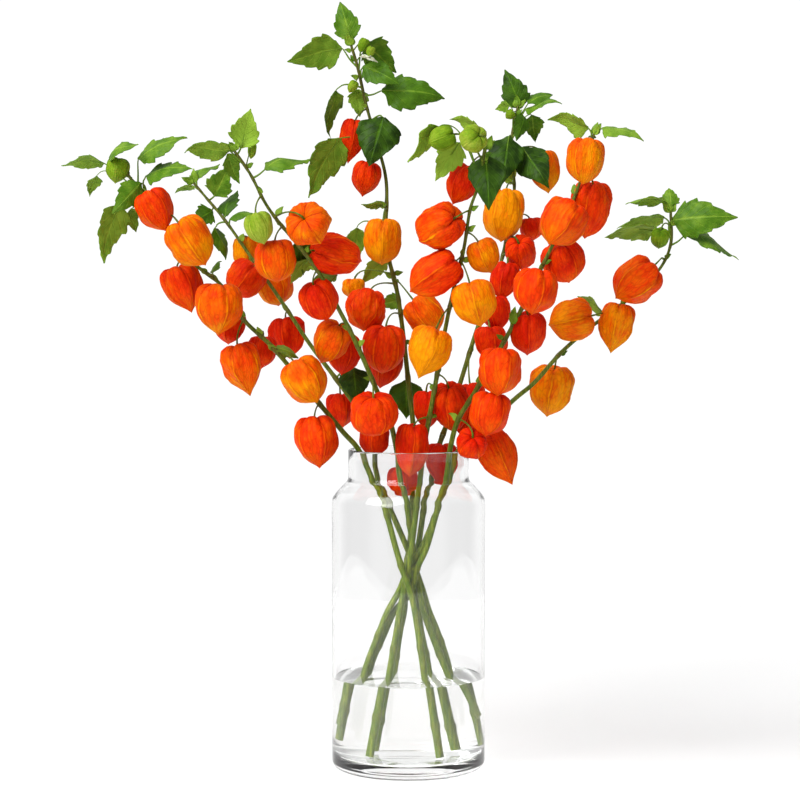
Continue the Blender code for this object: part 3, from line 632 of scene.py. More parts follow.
def green_stem(settings):
    """Living stem skin: waxy green with fine long streaks, brown at the knots, darker further up."""
    material, tree, shader = new_material("waxy_stem_skin", {
        "Roughness": 0.42, "Specular IOR Level": 0.22})
    place = add_node(tree, "ShaderNodeTexCoord").outputs["Object"]
    height = add_node(tree, "ShaderNodeSeparateXYZ", {"Vector": place}).outputs["Z"]
    rise = add_node(tree, "ShaderNodeMapRange", {
        "Value": height, "From Min": 0.4, "From Max": 0.66})
    skin = add_node(tree, "ShaderNodeMix", {
        "Factor": rise, "A": (*settings.low_green, 1.0), "B": (*settings.high_green, 1.0)},
        data_type="RGBA")
    long_grain = add_node(tree, "ShaderNodeMapping", {
        "Vector": place, "Scale": (1 / (1.6 * MM), 1 / (1.6 * MM), 1 / (22 * MM))})
    streaks = add_node(tree, "ShaderNodeTexNoise", {"Vector": long_grain, "Scale": 1.0, "Detail": 3.0})
    streak_share = add_node(tree, "ShaderNodeMapRange", {
        "Value": streaks, "From Min": 0.42, "From Max": 0.66, "To Max": 0.7})
    streaked = add_node(tree, "ShaderNodeMix", {
        "Factor": streak_share, "A": skin, "B": (*settings.streak, 1.0)}, data_type="RGBA")
    blotches = add_node(tree, "ShaderNodeTexNoise", {
        "Vector": place, "Scale": 1 / (14 * MM), "Detail": 2.0})
    blotch_share = add_node(tree, "ShaderNodeMapRange", {
        "Value": blotches, "From Min": 0.58, "From Max": 0.74, "To Max": 0.4})
    knots = add_node(tree, "ShaderNodeAttribute", attribute_name="knot")
    brown_share = add_node(tree, MATH, (knots.outputs["Fac"], blotch_share), operation="MAXIMUM")
    old = add_node(tree, "ShaderNodeMix", {
        "Factor": brown_share, "A": streaked, "B": (*settings.knot_brown, 1.0)}, data_type="RGBA")
    young = add_node(tree, "ShaderNodeAttribute", attribute_name="fresh").outputs["Fac"]
    colour = add_node(tree, "ShaderNodeMix", {
        "Factor": young, "A": old, "B": (*settings.fresh_green, 1.0)}, data_type="RGBA")
    tree.links.new(colour.outputs[2], shader.inputs["Base Color"])
    bump = add_node(tree, "ShaderNodeBump", {"Strength": 0.5, "Distance": 0.3 * MM, "Height": streaks})
    tree.links.new(bump.outputs["Normal"], shader.inputs["Normal"])
    return material


def husk_paper(name, tones, settings):
    """A dry calyx, papery and half translucent: silky, veined and lighter at its tip, with a painted
    highlight along its ribs and painted shade in the crown's creases and beside the ribs.
    """
    material, tree, shader = new_material(name, {
        "Roughness": 0.55, "Specular IOR Level": 0.06, "Subsurface Weight": 0.12,
        "Subsurface Radius": (1.0, 0.22, 0.04), "Subsurface Scale": 4 * MM})
    sheet = add_node(tree, "ShaderNodeUVMap", uv_map="UVMap")
    place = add_node(tree, "ShaderNodeTexCoord").outputs["Object"]
    on_sheet = add_node(tree, "ShaderNodeSeparateXYZ", {"Vector": sheet})
    off_lines, lines = [], []
    for count in (RIBS, 2 * RIBS):
        turn = add_node(tree, MATH, (on_sheet.outputs["X"], count * math.pi), operation="MULTIPLY")
        sine = add_node(tree, MATH, (turn,), operation="SINE")
        off_lines.append(add_node(tree, MATH, (sine,), operation="ABSOLUTE"))
        lines.append(add_node(tree, "ShaderNodeMapRange", {
            "Value": off_lines[-1], "From Min": 0.02, "From Max": 0.15, "To Min": 1.0, "To Max": 0.0},
            interpolation_type="SMOOTHSTEP"))
    near_crown = add_node(tree, "ShaderNodeMapRange", {
        "Value": on_sheet.outputs["Y"], "From Min": 0.1, "From Max": 0.45, "To Min": 1.0, "To Max": 0.0})
    cells = add_node(tree, "ShaderNodeMapping", {
        "Vector": sheet, "Scale": (120 * MM / settings.vein_cell, 30 * MM / settings.vein_cell, 1.0)})
    net = add_node(tree, "ShaderNodeTexVoronoi", {
        "Vector": cells, "Scale": 1.0}, feature="DISTANCE_TO_EDGE")
    veins = add_node(tree, "ShaderNodeMapRange", {
        "Value": net, "From Min": 0.02, "From Max": 0.16, "To Min": 1.0, "To Max": 0.0})
    ripe = add_node(tree, "ShaderNodeAttribute", attribute_name="ripeness").outputs["Fac"]
    blotches = add_node(tree, "ShaderNodeTexNoise", {
        "Vector": place, "Scale": 1 / (15 * MM), "Detail": 3.0})
    mottle = add_node(tree, "ShaderNodeMapRange", {
        "Value": blotches, "From Min": 0.3, "From Max": 0.7, "To Min": -0.2, "To Max": 0.2})
    # Silky streaks about 3 mm apart round the husk, coarser than real ones so that they show
    streaks_at = add_node(tree, "ShaderNodeMapping", {"Vector": sheet, "Scale": (42.0, 3.0, 1.0)})
    streaks = add_node(tree, "ShaderNodeTexNoise", {"Vector": streaks_at, "Scale": 1.0, "Detail": 2.0})
    streak = add_node(tree, "ShaderNodeMapRange", {
        "Value": streaks, "From Min": 0.3, "From Max": 0.7, "To Min": -0.14, "To Max": 0.14})
    toward_tip = add_node(tree, "ShaderNodeMapRange", {
        "Value": on_sheet.outputs["Y"], "To Min": 0.14, "To Max": -0.18})
    # Along the ribs the paper turns redder near the crown, painted shade in its creases, and yellower
    # further down, a painted highlight on the ridges; the small creases at the crown get painted shade too
    rib_change = add_node(tree, MATH, (near_crown, 0.64, -0.28), operation="MULTIPLY_ADD")
    rib_highlight_and_crease_shade = add_node(tree, MATH, (lines[0], rib_change), operation="MULTIPLY")
    crease_change = add_node(tree, MATH, (near_crown, 0.2), operation="MULTIPLY")
    crease_shade_shift = add_node(tree, MATH, (lines[1], crease_change), operation="MULTIPLY")
    total = ripe
    for change in (mottle, streak, toward_tip, rib_highlight_and_crease_shade, crease_shade_shift):
        total = add_node(tree, MATH, (total, change), operation="ADD")
    ramp = fill_ramp(add_node(tree, "ShaderNodeValToRGB", {"Fac": total}), tones)
    # Painted shade beside each rib, where the paper lies back from the ridge, added to the real veins'
    # darkening
    beside_rib = add_node(tree, "ShaderNodeMapRange", {
        "Value": off_lines[0], "From Min": 0.12, "From Max": 0.5, "To Min": 0.3, "To Max": 0.0})
    off_ridge = add_node(tree, MATH, (1.0, lines[0]), operation="SUBTRACT")
    fold_shade = add_node(tree, MATH, (beside_rib, off_ridge), operation="MULTIPLY")
    vein_and_fold_shade = add_node(tree, MATH, (veins, 0.22, fold_shade), operation="MULTIPLY_ADD")
    # Painted shade in the creases round the crown, which darkens together with the veins and the painted
    # shade beside the ribs
    all_creases = add_node(tree, MATH, (lines[1], 0.5, lines[0]), operation="MULTIPLY_ADD")
    crease_shade = add_node(tree, MATH, (all_creases, near_crown), operation="MULTIPLY")
    dark_share = add_node(tree, MATH, (crease_shade, 0.7, vein_and_fold_shade), operation="MULTIPLY_ADD",
                          use_clamp=True)
    colour = add_node(tree, "ShaderNodeMix", {
        "Factor": dark_share, "A": ramp, "B": (*settings.vein_and_shade, 1.0)},
        data_type="RGBA", blend_type="MULTIPLY")
    tree.links.new(colour.outputs[2], shader.inputs["Base Color"])
    relief = add_node(tree, MATH, (veins, streaks), operation="ADD")
    bump = add_node(tree, "ShaderNodeBump", {"Strength": 0.5, "Distance": 0.35 * MM, "Height": relief})
    tree.links.new(bump.outputs["Normal"], shader.inputs["Normal"])
    return material


def leaf_skin(settings):
    """A living leaf: waxy above and dull below, with a pale midrib, sunken side veins and mottling."""
    material, tree, shader = new_material("living_leaf_skin", {"Specular IOR Level": 0.15})
    sheet = add_node(tree, "ShaderNodeUVMap", uv_map="UVMap")
    place = add_node(tree, "ShaderNodeTexCoord").outputs["Object"]
    on_sheet = add_node(tree, "ShaderNodeSeparateXYZ", {"Vector": sheet})
    off_centre = add_node(tree, MATH, (on_sheet.outputs["X"], 0.5), operation="SUBTRACT")
    off_rib = add_node(tree, MATH, (off_centre,), operation="ABSOLUTE")
    midrib = add_node(tree, "ShaderNodeMapRange", {
        "Value": off_rib, "From Min": 0.012, "From Max": 0.04, "To Min": 1.0, "To Max": 0.0})
    slant = add_node(tree, MATH, (off_rib, -0.7), operation="MULTIPLY")
    forward = add_node(tree, MATH, (on_sheet.outputs["Y"], slant), operation="ADD")
    pairs = add_node(tree, MATH, (forward, SIDE_VEIN_PAIRS), operation="MULTIPLY")
    between = add_node(tree, MATH, (pairs, 0.5), operation="PINGPONG")
    side_veins = add_node(tree, "ShaderNodeMapRange", {
        "Value": between, "From Min": 0.02, "From Max": 0.1, "To Min": 1.0, "To Max": 0.0})
    shade = add_node(tree, "ShaderNodeAttribute", attribute_name="shade").outputs["Fac"]
    blotches = add_node(tree, "ShaderNodeTexNoise", {
        "Vector": place, "Scale": 1 / (9 * MM), "Detail": 4.0})
    mottle = add_node(tree, "ShaderNodeMapRange", {
        "Value": blotches, "From Min": 0.3, "From Max": 0.7, "To Min": -0.16, "To Max": 0.16})
    vein_lift = add_node(tree, MATH, (side_veins, 0.1), operation="MULTIPLY")
    rib_lift = add_node(tree, MATH, (midrib, 0.25), operation="MULTIPLY")
    under = add_node(tree, "ShaderNodeAttribute", attribute_name="under").outputs["Fac"]
    under_lift = add_node(tree, MATH, (under, 0.22), operation="MULTIPLY")
    total = shade
    for change in (mottle, vein_lift, rib_lift, under_lift):
        total = add_node(tree, MATH, (total, change), operation="ADD")
    ramp = fill_ramp(add_node(tree, "ShaderNodeValToRGB", {"Fac": total}), (
        (0.0, settings.dark), (0.5, settings.middle), (1.0, settings.pale)))
    tree.links.new(ramp.outputs["Color"], shader.inputs["Base Color"])
    rough = add_node(tree, "ShaderNodeMapRange", {"Value": under, "To Min": 0.45, "To Max": 0.62})
    tree.links.new(rough.outputs[0], shader.inputs["Roughness"])
    height = add_node(tree, MATH, (side_veins, midrib), operation="MAXIMUM")
    bump = add_node(tree, "ShaderNodeBump", {
        "Strength": 0.6, "Distance": 0.5 * MM, "Height": height}, invert=True)
    tree.links.new(bump.outputs["Normal"], shader.inputs["Normal"])
    return material


def white_petal(settings):
    """A soft petal."""
    return new_material("creamy_petal", {
        "Base Color": (*settings.white, 1.0), "Roughness": 0.6, "Specular IOR Level": 0.2})[0]


def end_tree(tree, given, grown):
    """Ends a tree with real, not instanced, geometry in its material."""
    real = add_node(tree, "GeometryNodeRealizeInstances", {"Geometry": grown})
    finished = add_node(tree, "GeometryNodeSetMaterial", {
        "Geometry": real, "Material": given["Material"]})
    add_node(tree, "NodeGroupOutput", {"Geometry": finished})
    return tree


def sheets_on_points(tree, given, across, numbers):
    """A flat sheet on every point, its point's numbers, and the place of each vertex on its sheet."""
    grid = add_node(tree, "GeometryNodeMeshGrid", {
        "Size X": 1.0, "Size Y": 1.0, "Vertices X": given[across], "Vertices Y": given["Points Along"]})
    mapped = add_node(tree, STORE, {"Geometry": grid, "Name": "UVMap", "Value": grid.outputs["UV Map"]},
                      data_type="FLOAT2", domain="CORNER")
    place = add_node(tree, "GeometryNodeInputPosition")
    seated = add_node(tree, STORE, {"Geometry": mapped, "Name": "seat", "Value": place},
                      data_type="FLOAT_VECTOR", domain="POINT")
    hung = add_node(tree, "GeometryNodeInstanceOnPoints", {
        "Points": given["Geometry"], "Instance": seated})
    sheets = add_node(tree, "GeometryNodeRealizeInstances", {"Geometry": hung})
    own = {key: add_node(tree, NAMED, {"Name": key}, data_type=kind) for key, kind in numbers.items()}
    seat = add_node(tree, "ShaderNodeSeparateXYZ", {"Vector": own["seat"]})
    return sheets, own, seat.outputs


def tube_tree():
    """Sweeps a round section along every line, as wide as each point's girth."""
    tree, given = new_tree("stem_and_stalks", {"Sides": 12})
    lines = add_node(tree, "GeometryNodeMeshToCurve", {"Mesh": given["Geometry"]})
    section = add_node(tree, "GeometryNodeCurvePrimitiveCircle", {
        "Resolution": given["Sides"], "Radius": 1.0})
    girth = add_node(tree, NAMED, {"Name": "girth"}, data_type="FLOAT")
    swept = add_node(tree, "GeometryNodeCurveToMesh", {
        "Curve": lines, "Profile Curve": section, "Scale": girth, "Fill Caps": True})
    smooth = add_node(tree, "GeometryNodeSetShadeSmooth", {"Geometry": swept})
    return end_tree(tree, given, smooth)


# How a husk's half width and its drop run from the dimple at the crown to the tip: for one shaped
# like a heart, and for one like a ball with a small nib
HEART_SPREAD = (
    (0.0, 0.0), (0.06, 0.13), (0.13, 0.36), (0.21, 0.62), (0.32, 0.87), (0.45, 1.0), (0.58, 0.97),
    (0.71, 0.78), (0.83, 0.48), (0.92, 0.2), (1.0, 0.0),
)
HEART_DROP = (
    (0.0, 0.075), (0.06, 0.035), (0.13, 0.0), (0.21, 0.01), (0.32, 0.08), (0.45, 0.24), (0.58, 0.42),
    (0.71, 0.6), (0.83, 0.76), (0.92, 0.885), (1.0, 1.0),
)
BALL_SPREAD = (
    (0.0, 0.0), (0.06, 0.14), (0.13, 0.36), (0.21, 0.62), (0.32, 0.86), (0.45, 1.0), (0.58, 0.99),
    (0.7, 0.86), (0.82, 0.58), (0.91, 0.28), (0.96, 0.09), (1.0, 0.0),
)
BALL_DROP = (
    (0.0, 0.09), (0.06, 0.04), (0.13, 0.0), (0.21, 0.01), (0.32, 0.09), (0.45, 0.28), (0.58, 0.5),
    (0.7, 0.7), (0.82, 0.85), (0.91, 0.93), (0.96, 0.965), (1.0, 1.0),
)
# Where the crown's creases are deep, and where the lobes between them stand up round the stalk
CROWN_FADE = ((0.0, 1.0), (0.25, 0.9), (0.45, 0.4), (0.7, 0.05), (1.0, 0.0))
LOBE_RISE = ((0.0, 0.0), (0.06, 0.5), (0.14, 1.0), (0.24, 0.7), (0.4, 0.15), (0.55, 0.0), (1.0, 0.0))
HUSK_NUMBERS = {
    "seat": "FLOAT_VECTOR", "crown": "FLOAT_VECTOR", "facing": "QUATERNION", "long": "FLOAT",
    "wide": "FLOAT", "turn": "FLOAT", "ribbing": "FLOAT", "grooving": "FLOAT", "rumple": "FLOAT",
    "phase": "FLOAT", "plump": "FLOAT",
}


def husk_tree():
    """Grows a ribbed, crumpled paper bag on each point, from its dimpled crown to its tip."""
    tree, given = new_tree("papery_husks", {
        "Points Around": 81, "Points Along": 40, "Rib Depth": 0.12, "Groove Depth": 0.2, "Lobe Rise": 0.06,
        "Pleat Depth": 0.2, "Fold Depth": 0.16, "Crumple Depth": 0.2, "Crumple Size": 0.018, "Seed": 7})
    sheets, own, seat = sheets_on_points(tree, given, "Points Around", HUSK_NUMBERS)
    around = add_node(tree, MATH, (seat["X"], 0.5), operation="ADD")
    along = add_node(tree, MATH, (seat["Y"], 0.5), operation="ADD")
    full_turn = add_node(tree, MATH, (around, math.tau), operation="MULTIPLY")
    angle = add_node(tree, MATH, (full_turn, own["turn"]), operation="ADD")

    # Ribs: the paper lies back between them, and the crown is creased along them
    rib_turn = add_node(tree, MATH, (around, RIBS * math.pi), operation="MULTIPLY")
    rib_sine = add_node(tree, MATH, (rib_turn,), operation="SINE")
    off_rib = add_node(tree, MATH, (rib_sine,), operation="ABSOLUTE")
    between = add_node(tree, MATH, (off_rib, 0.72), operation="POWER")
    half_rib_turn = add_node(tree, MATH, (around, 2 * RIBS * math.pi), operation="MULTIPLY")
    half_rib_sine = add_node(tree, MATH, (half_rib_turn,), operation="SINE")
    off_half_rib = add_node(tree, MATH, (half_rib_sine,), operation="ABSOLUTE")
    fade = draw_curve(add_node(tree, "ShaderNodeFloatCurve", {"Value": along}), CROWN_FADE)
    below = add_node(tree, MATH, (1.0, fade), operation="SUBTRACT")
    rib_depth = add_node(tree, MATH, (given["Rib Depth"], own["ribbing"]), operation="MULTIPLY")
    rib_here = add_node(tree, MATH, (rib_depth, below), operation="MULTIPLY")
    dent = add_node(tree, MATH, (between, rib_here), operation="MULTIPLY")
    groove_depth = add_node(tree, MATH, (given["Groove Depth"], own["grooving"]), operation="MULTIPLY")
    groove_here = add_node(tree, MATH, (groove_depth, fade), operation="MULTIPLY")
    main_crease = add_node(tree, MATH, (1.0, between), operation="SUBTRACT")
    small_crease = add_node(tree, MATH, (1.0, off_half_rib), operation="SUBTRACT")
    creases = add_node(tree, MATH, (small_crease, 0.45, main_crease), operation="MULTIPLY_ADD")
    groove = add_node(tree, MATH, (creases, groove_here), operation="MULTIPLY")

    # Long soft folds all over, and short pleats round the crown
    stretch = add_node(tree, MATH, (along, 0.9), operation="MULTIPLY")
    flat_ring = add_node(tree, "ShaderNodeCombineXYZ", {"X": 1.0, "Z": stretch})
    ring = add_node(tree, "ShaderNodeVectorRotate", {"Vector": flat_ring, "Angle": angle},
                    rotation_type="Z_AXIS")
    drift = add_node(tree, MATH, (own["phase"], given["Seed"]), operation="ADD")
    fold_noise = add_node(tree, "ShaderNodeTexNoise", {
        "Vector": ring, "W": drift, "Scale": 2.6, "Detail": 2.5, "Roughness": 0.6}, noise_dimensions="4D")
    fold_even = add_node(tree, MATH, (fold_noise, 0.5), operation="SUBTRACT")
    fold_depth = add_node(tree, MATH, (given["Fold Depth"], own["rumple"]), operation="MULTIPLY")
    fold = add_node(tree, MATH, (fold_even, fold_depth), operation="MULTIPLY")

    pleat_noise = add_node(tree, "ShaderNodeTexNoise", {
        "Vector": ring, "W": drift, "Scale": 6.0, "Detail": 1.0}, noise_dimensions="4D")
    pleat_even = add_node(tree, MATH, (pleat_noise, 0.5), operation="SUBTRACT")
    pleat_depth = add_node(tree, MATH, (given["Pleat Depth"], fade), operation="MULTIPLY")
    pleat = add_node(tree, MATH, (pleat_even, pleat_depth), operation="MULTIPLY")

    # The bag's outline, turned round its axis
    share = add_node(tree, MATH, (1.0, dent), operation="SUBTRACT")
    share = add_node(tree, MATH, (share, groove), operation="SUBTRACT")
    share = add_node(tree, MATH, (share, fold), operation="ADD")
    share = add_node(tree, MATH, (share, pleat), operation="ADD")
    spread, drop = (
        add_node(tree, "ShaderNodeMix", {
            "Factor": own["plump"],
            "A": draw_curve(add_node(tree, "ShaderNodeFloatCurve", {"Value": along}), heart),
            "B": draw_curve(add_node(tree, "ShaderNodeFloatCurve", {"Value": along}), ball)},
            data_type="FLOAT")
        for heart, ball in ((HEART_SPREAD, BALL_SPREAD), (HEART_DROP, BALL_DROP))
    )
    lobe = draw_curve(add_node(tree, "ShaderNodeFloatCurve", {"Value": along}), LOBE_RISE)
    lobe_here = add_node(tree, MATH, (lobe, between), operation="MULTIPLY")
    risen = add_node(tree, MATH, (lobe_here, given["Lobe Rise"]), operation="MULTIPLY")
    sunk = add_node(tree, MATH, (drop, risen), operation="SUBTRACT")
    half = add_node(tree, MATH, (own["wide"], 0.5), operation="MULTIPLY")
    reach = add_node(tree, MATH, (spread, half), operation="MULTIPLY")
    radius = add_node(tree, MATH, (reach, share), operation="MULTIPLY")
    height = add_node(tree, MATH, (sunk, own["long"]), operation="MULTIPLY")
    unturned = add_node(tree, "ShaderNodeCombineXYZ", {"X": radius, "Z": height})
    shell = add_node(tree, "ShaderNodeVectorRotate", {"Vector": unturned, "Angle": angle},
                     rotation_type="Z_AXIS")

    # Crumples in all directions, finer where the paper is dry, and then the bag's own place
    crumple_scale = add_node(tree, MATH, (1.0, given["Crumple Size"]), operation="DIVIDE")
    fineness = add_node(tree, "ShaderNodeMapRange", {
        "Value": own["rumple"], "From Min": 0.7, "From Max": 2.2, "To Min": 0.5, "To Max": 0.72})
    crumple_noise = add_node(tree, "ShaderNodeTexNoise", {
        "Vector": shell, "W": drift, "Scale": crumple_scale, "Detail": 3.0, "Roughness": fineness},
        noise_dimensions="4D")
    crumple_even = add_node(tree, VECTOR_MATH, (crumple_noise.outputs["Color"], (0.5, 0.5, 0.5)),
                            operation="SUBTRACT")
    crumple_depth = add_node(tree, MATH, (given["Crumple Depth"], own["rumple"]), operation="MULTIPLY")
    crumple_here = add_node(tree, MATH, (crumple_depth, reach), operation="MULTIPLY")
    crumple = add_node(tree, VECTOR_MATH, {"Vector": crumple_even, "Scale": crumple_here},
                       operation="SCALE")
    bag = add_node(tree, VECTOR_MATH, (shell, crumple), operation="ADD")
    faced = add_node(tree, "FunctionNodeRotateVector", {"Vector": bag, "Rotation": own["facing"]})
    placed = add_node(tree, VECTOR_MATH, (faced, own["crown"]), operation="ADD")
    husks = add_node(tree, "GeometryNodeSetPosition", {"Geometry": sheets, "Position": placed})
    closed = add_node(tree, "GeometryNodeMergeByDistance", {"Geometry": husks, "Distance": WELD * MM})
    smooth = add_node(tree, "GeometryNodeSetShadeSmooth", {"Geometry": closed})
    return end_tree(tree, given, smooth)


# How a leaf's half width runs from its stalk to its tip
LEAF_SPREAD = (
    (0.0, 0.1), (0.05, 0.3), (0.13, 0.72), (0.24, 0.98), (0.36, 1.0), (0.5, 0.86), (0.64, 0.64),
    (0.78, 0.4), (0.9, 0.16), (1.0, 0.0),
)
LEAF_NUMBERS = {
    "seat": "FLOAT_VECTOR", "base": "FLOAT_VECTOR", "facing": "QUATERNION", "long": "FLOAT",
    "wide": "FLOAT", "teeth": "FLOAT", "toothing": "FLOAT", "curl": "FLOAT", "phase": "FLOAT",
}


def leaf_tree():
    """Grows a toothed, folded and waved blade on each point, with a top and an underside."""
    tree, given = new_tree("toothed_leaves", {
        "Points Across": 17, "Points Along": 49, "Breadth": 1.1, "Thickness": 0.0005, "Tooth Depth": 0.2,
        "Fold": 0.22, "Arch": 0.1, "Curl": 0.07, "Wave Depth": 0.3, "Wave Size": 0.017, "Seed": 3})
    sheets, own, seat = sheets_on_points(tree, given, "Points Across", LEAF_NUMBERS)
    across = add_node(tree, MATH, (seat["X"], 2.0), operation="MULTIPLY")
    along = add_node(tree, MATH, (seat["Y"], 0.5), operation="ADD")
    off_rib = add_node(tree, MATH, (across,), operation="ABSOLUTE")

    # The outline with its teeth
    tooth_run = add_node(tree, MATH, (along, own["teeth"], own["phase"]), operation="MULTIPLY_ADD")
    saw = add_node(tree, MATH, (tooth_run,), operation="FRACT")
    edge_only = add_node(tree, MATH, (off_rib, 3.0), operation="POWER")
    tooth_depth = add_node(tree, MATH, (given["Tooth Depth"], own["toothing"]), operation="MULTIPLY")
    tooth_here = add_node(tree, MATH, (edge_only, tooth_depth), operation="MULTIPLY")
    cut = add_node(tree, MATH, (saw, tooth_here), operation="MULTIPLY")
    kept = add_node(tree, MATH, (1.0, cut), operation="SUBTRACT")
    spread = draw_curve(add_node(tree, "ShaderNodeFloatCurve", {"Value": along}), LEAF_SPREAD)
    wide = add_node(tree, MATH, (own["wide"], given["Breadth"]), operation="MULTIPLY")
    half = add_node(tree, MATH, (wide, 0.5), operation="MULTIPLY")
    reach = add_node(tree, MATH, (spread, half), operation="MULTIPLY")
    edge = add_node(tree, MATH, (reach, kept), operation="MULTIPLY")
    sideways = add_node(tree, MATH, (edge, across), operation="MULTIPLY")
    forward = add_node(tree, MATH, (along, own["long"]), operation="MULTIPLY")

    # The lift of the blade: its arch, the fold along its midrib, its waves and its curl
    half_turn = add_node(tree, MATH, (along, math.pi), operation="MULTIPLY")
    bow = add_node(tree, MATH, (half_turn,), operation="SINE")
    arch = add_node(tree, MATH, (bow, given["Arch"]), operation="MULTIPLY")
    arch_height = add_node(tree, MATH, (arch, own["long"]), operation="MULTIPLY")
    out = add_node(tree, MATH, (sideways,), operation="ABSOLUTE")
    fold = add_node(tree, MATH, (out, given["Fold"]), operation="MULTIPLY")
    flat = add_node(tree, "ShaderNodeCombineXYZ", {"X": sideways, "Y": forward})
    drift = add_node(tree, MATH, (own["phase"], given["Seed"]), operation="ADD")
    wave_scale = add_node(tree, MATH, (1.0, given["Wave Size"]), operation="DIVIDE")
    wave = add_node(tree, "ShaderNodeTexNoise", {
        "Vector": flat, "W": drift, "Scale": wave_scale, "Detail": 1.5}, noise_dimensions="4D")
    wave_even = add_node(tree, MATH, (wave, 0.5), operation="SUBTRACT")
    wave_depth = add_node(tree, MATH, (given["Wave Depth"], half), operation="MULTIPLY")
    wave_here = add_node(tree, MATH, (wave_depth, off_rib), operation="MULTIPLY")
    waved = add_node(tree, MATH, (wave_even, wave_here), operation="MULTIPLY")
    waved_more = add_node(tree, MATH, (waved, 3.0), operation="MULTIPLY")
    s_turn = add_node(tree, MATH, (along, math.tau), operation="MULTIPLY")
    s_bend = add_node(tree, MATH, (s_turn,), operation="SINE")
    curl = add_node(tree, MATH, (given["Curl"], own["curl"]), operation="MULTIPLY")
    curl_height = add_node(tree, MATH, (curl, own["long"]), operation="MULTIPLY")
    curled = add_node(tree, MATH, (s_bend, curl_height), operation="MULTIPLY")
    lift = add_node(tree, MATH, (arch_height, fold), operation="SUBTRACT")
    lift = add_node(tree, MATH, (lift, waved_more), operation="ADD")
    lift = add_node(tree, MATH, (lift, curled), operation="ADD")
    blade = add_node(tree, "ShaderNodeCombineXYZ", {"X": sideways, "Y": forward, "Z": lift})
    faced = add_node(tree, "FunctionNodeRotateVector", {"Vector": blade, "Rotation": own["facing"]})
    placed = add_node(tree, VECTOR_MATH, (faced, own["base"]), operation="ADD")
    shaped = add_node(tree, "GeometryNodeSetPosition", {"Geometry": sheets, "Position": placed})
    joined = add_node(tree, "GeometryNodeMergeByDistance", {"Geometry": shaped, "Distance": WELD * MM})
    smooth = add_node(tree, "GeometryNodeSetShadeSmooth", {"Geometry": joined})

    # A thin closed blade, whose underside has its own mark
    top = add_node(tree, "GeometryNodeExtrudeMesh", {
        "Mesh": smooth, "Offset Scale": given["Thickness"], "Individual": False}, mode="FACES")
    rimmed = add_node(tree, "GeometryNodeSetShadeSmooth", {
        "Geometry": top, "Selection": top.outputs["Side"], "Shade Smooth": False})
    turned_over = add_node(tree, "GeometryNodeFlipFaces", {"Mesh": smooth})
    under = add_node(tree, STORE, {"Geometry": turned_over, "Name": "under", "Value": 1.0},
                     data_type="FLOAT", domain="FACE")
    both = add_node(tree, "GeometryNodeJoinGeometry", {"Geometry": [rimmed, under]})
    closed = add_node(tree, "GeometryNodeMergeByDistance", {"Geometry": both, "Distance": WELD * MM})
    return end_tree(tree, given, closed)


def corner_points(centre_r, centre_z, radius, start, end, steps):
    """Points on a round corner of a turned profile, angles in degrees from +X."""
    angles = np.radians(np.linspace(start, end, steps + 1))
    return [(centre_r + radius * math.cos(a), centre_z + radius * math.sin(a)) for a in angles]


def wall_profile(radius, neck, foot, floor, narrowing, push_up):
    """One face of the vase's wall, from under the rim to the middle of its floor or its pushed-up foot."""
    neck_end = VASE_HEIGHT - NECK_LENGTH
    step = radius - neck
    top = VASE_HEIGHT - GLASS_WALL / 2
    shoulder_rows = [(neck + step * out, neck_end - SHOULDER_HEIGHT * down) for out, down in SHOULDER]
    first_out, first_height = shoulder_rows[0]
    rows = [
        (neck, neck_end + 14), (neck, neck_end + narrowing),
        (first_out, first_height + narrowing * 0.4), *shoulder_rows[1:],
        (radius, neck_end - SHOULDER_HEIGHT - narrowing), (radius, neck_end - SHOULDER_HEIGHT - 20),
    ]
    shoulder = smooth_path([Vector((r, 0.0, z)) for r, z in rows], PROFILE_SPACING)
    profile = [(neck, top)] + [(p.x, p.z) for p in shoulder]
    profile += corner_points(radius - FOOT_ROUND, floor + FOOT_ROUND, FOOT_ROUND, 0, -90, 10)
    profile += [(foot * 0.9, floor)]
    if push_up:
        profile += [(r, floor + rise * push_up) for r, rise in PUSH_UP]
    return profile + [(14.0, floor + push_up), (0.0, floor + push_up)]


def turned_piece(name, profile, steps, material):
    """A closed solid turned from a profile round the vase's axis."""
    mesh = bpy.data.meshes.new(name + "_profile")
    mesh.from_pydata([(r * MM, 0.0, z * MM) for r, z in profile],
                     [(i, i + 1) for i in range(len(profile) - 1)], [])
    helper = bpy.data.objects.new(name + "_profile", mesh)
    bpy.context.scene.collection.objects.link(helper)
    turn = helper.modifiers.new("turn", "SCREW")
    turn.steps = turn.render_steps = steps
    turn.use_merge_vertices = True
    turn.merge_threshold = WELD * MM
    depsgraph = bpy.context.evaluated_depsgraph_get()
    solid = bpy.data.meshes.new_from_object(helper.evaluated_get(depsgraph))
    bpy.data.objects.remove(helper)
    bpy.data.meshes.remove(mesh)
    shape = bmesh.new()
    shape.from_mesh(solid)
    bmesh.ops.remove_doubles(shape, verts=shape.verts, dist=WELD * MM)
    bmesh.ops.recalc_face_normals(shape, faces=shape.faces)
    for face in shape.faces:
        face.smooth = True
    shape.to_mesh(solid)
    shape.free()
    solid.name = name
    solid.materials.clear()
    solid.materials.append(material)
    piece = bpy.data.objects.new(name, solid)
    bpy.context.scene.collection.objects.link(piece)
    return piece


def colour_setting(name, description, code):
    """A colour that a user can change, given as an sRGB hex value."""
    return bpy.props.FloatVectorProperty(
        name=name, description=description, default=linear(code), subtype="COLOR")


def share_setting(name, description, default):
    """A share of some other size that a user can change."""
    return bpy.props.FloatProperty(
        name=name, description=description, default=default, subtype="FACTOR")


def length_setting(name, description, default):
    """A length that a user can change, given in millimetres."""
    return bpy.props.FloatProperty(
        name=name, description=description, default=default * MM, unit="LENGTH")


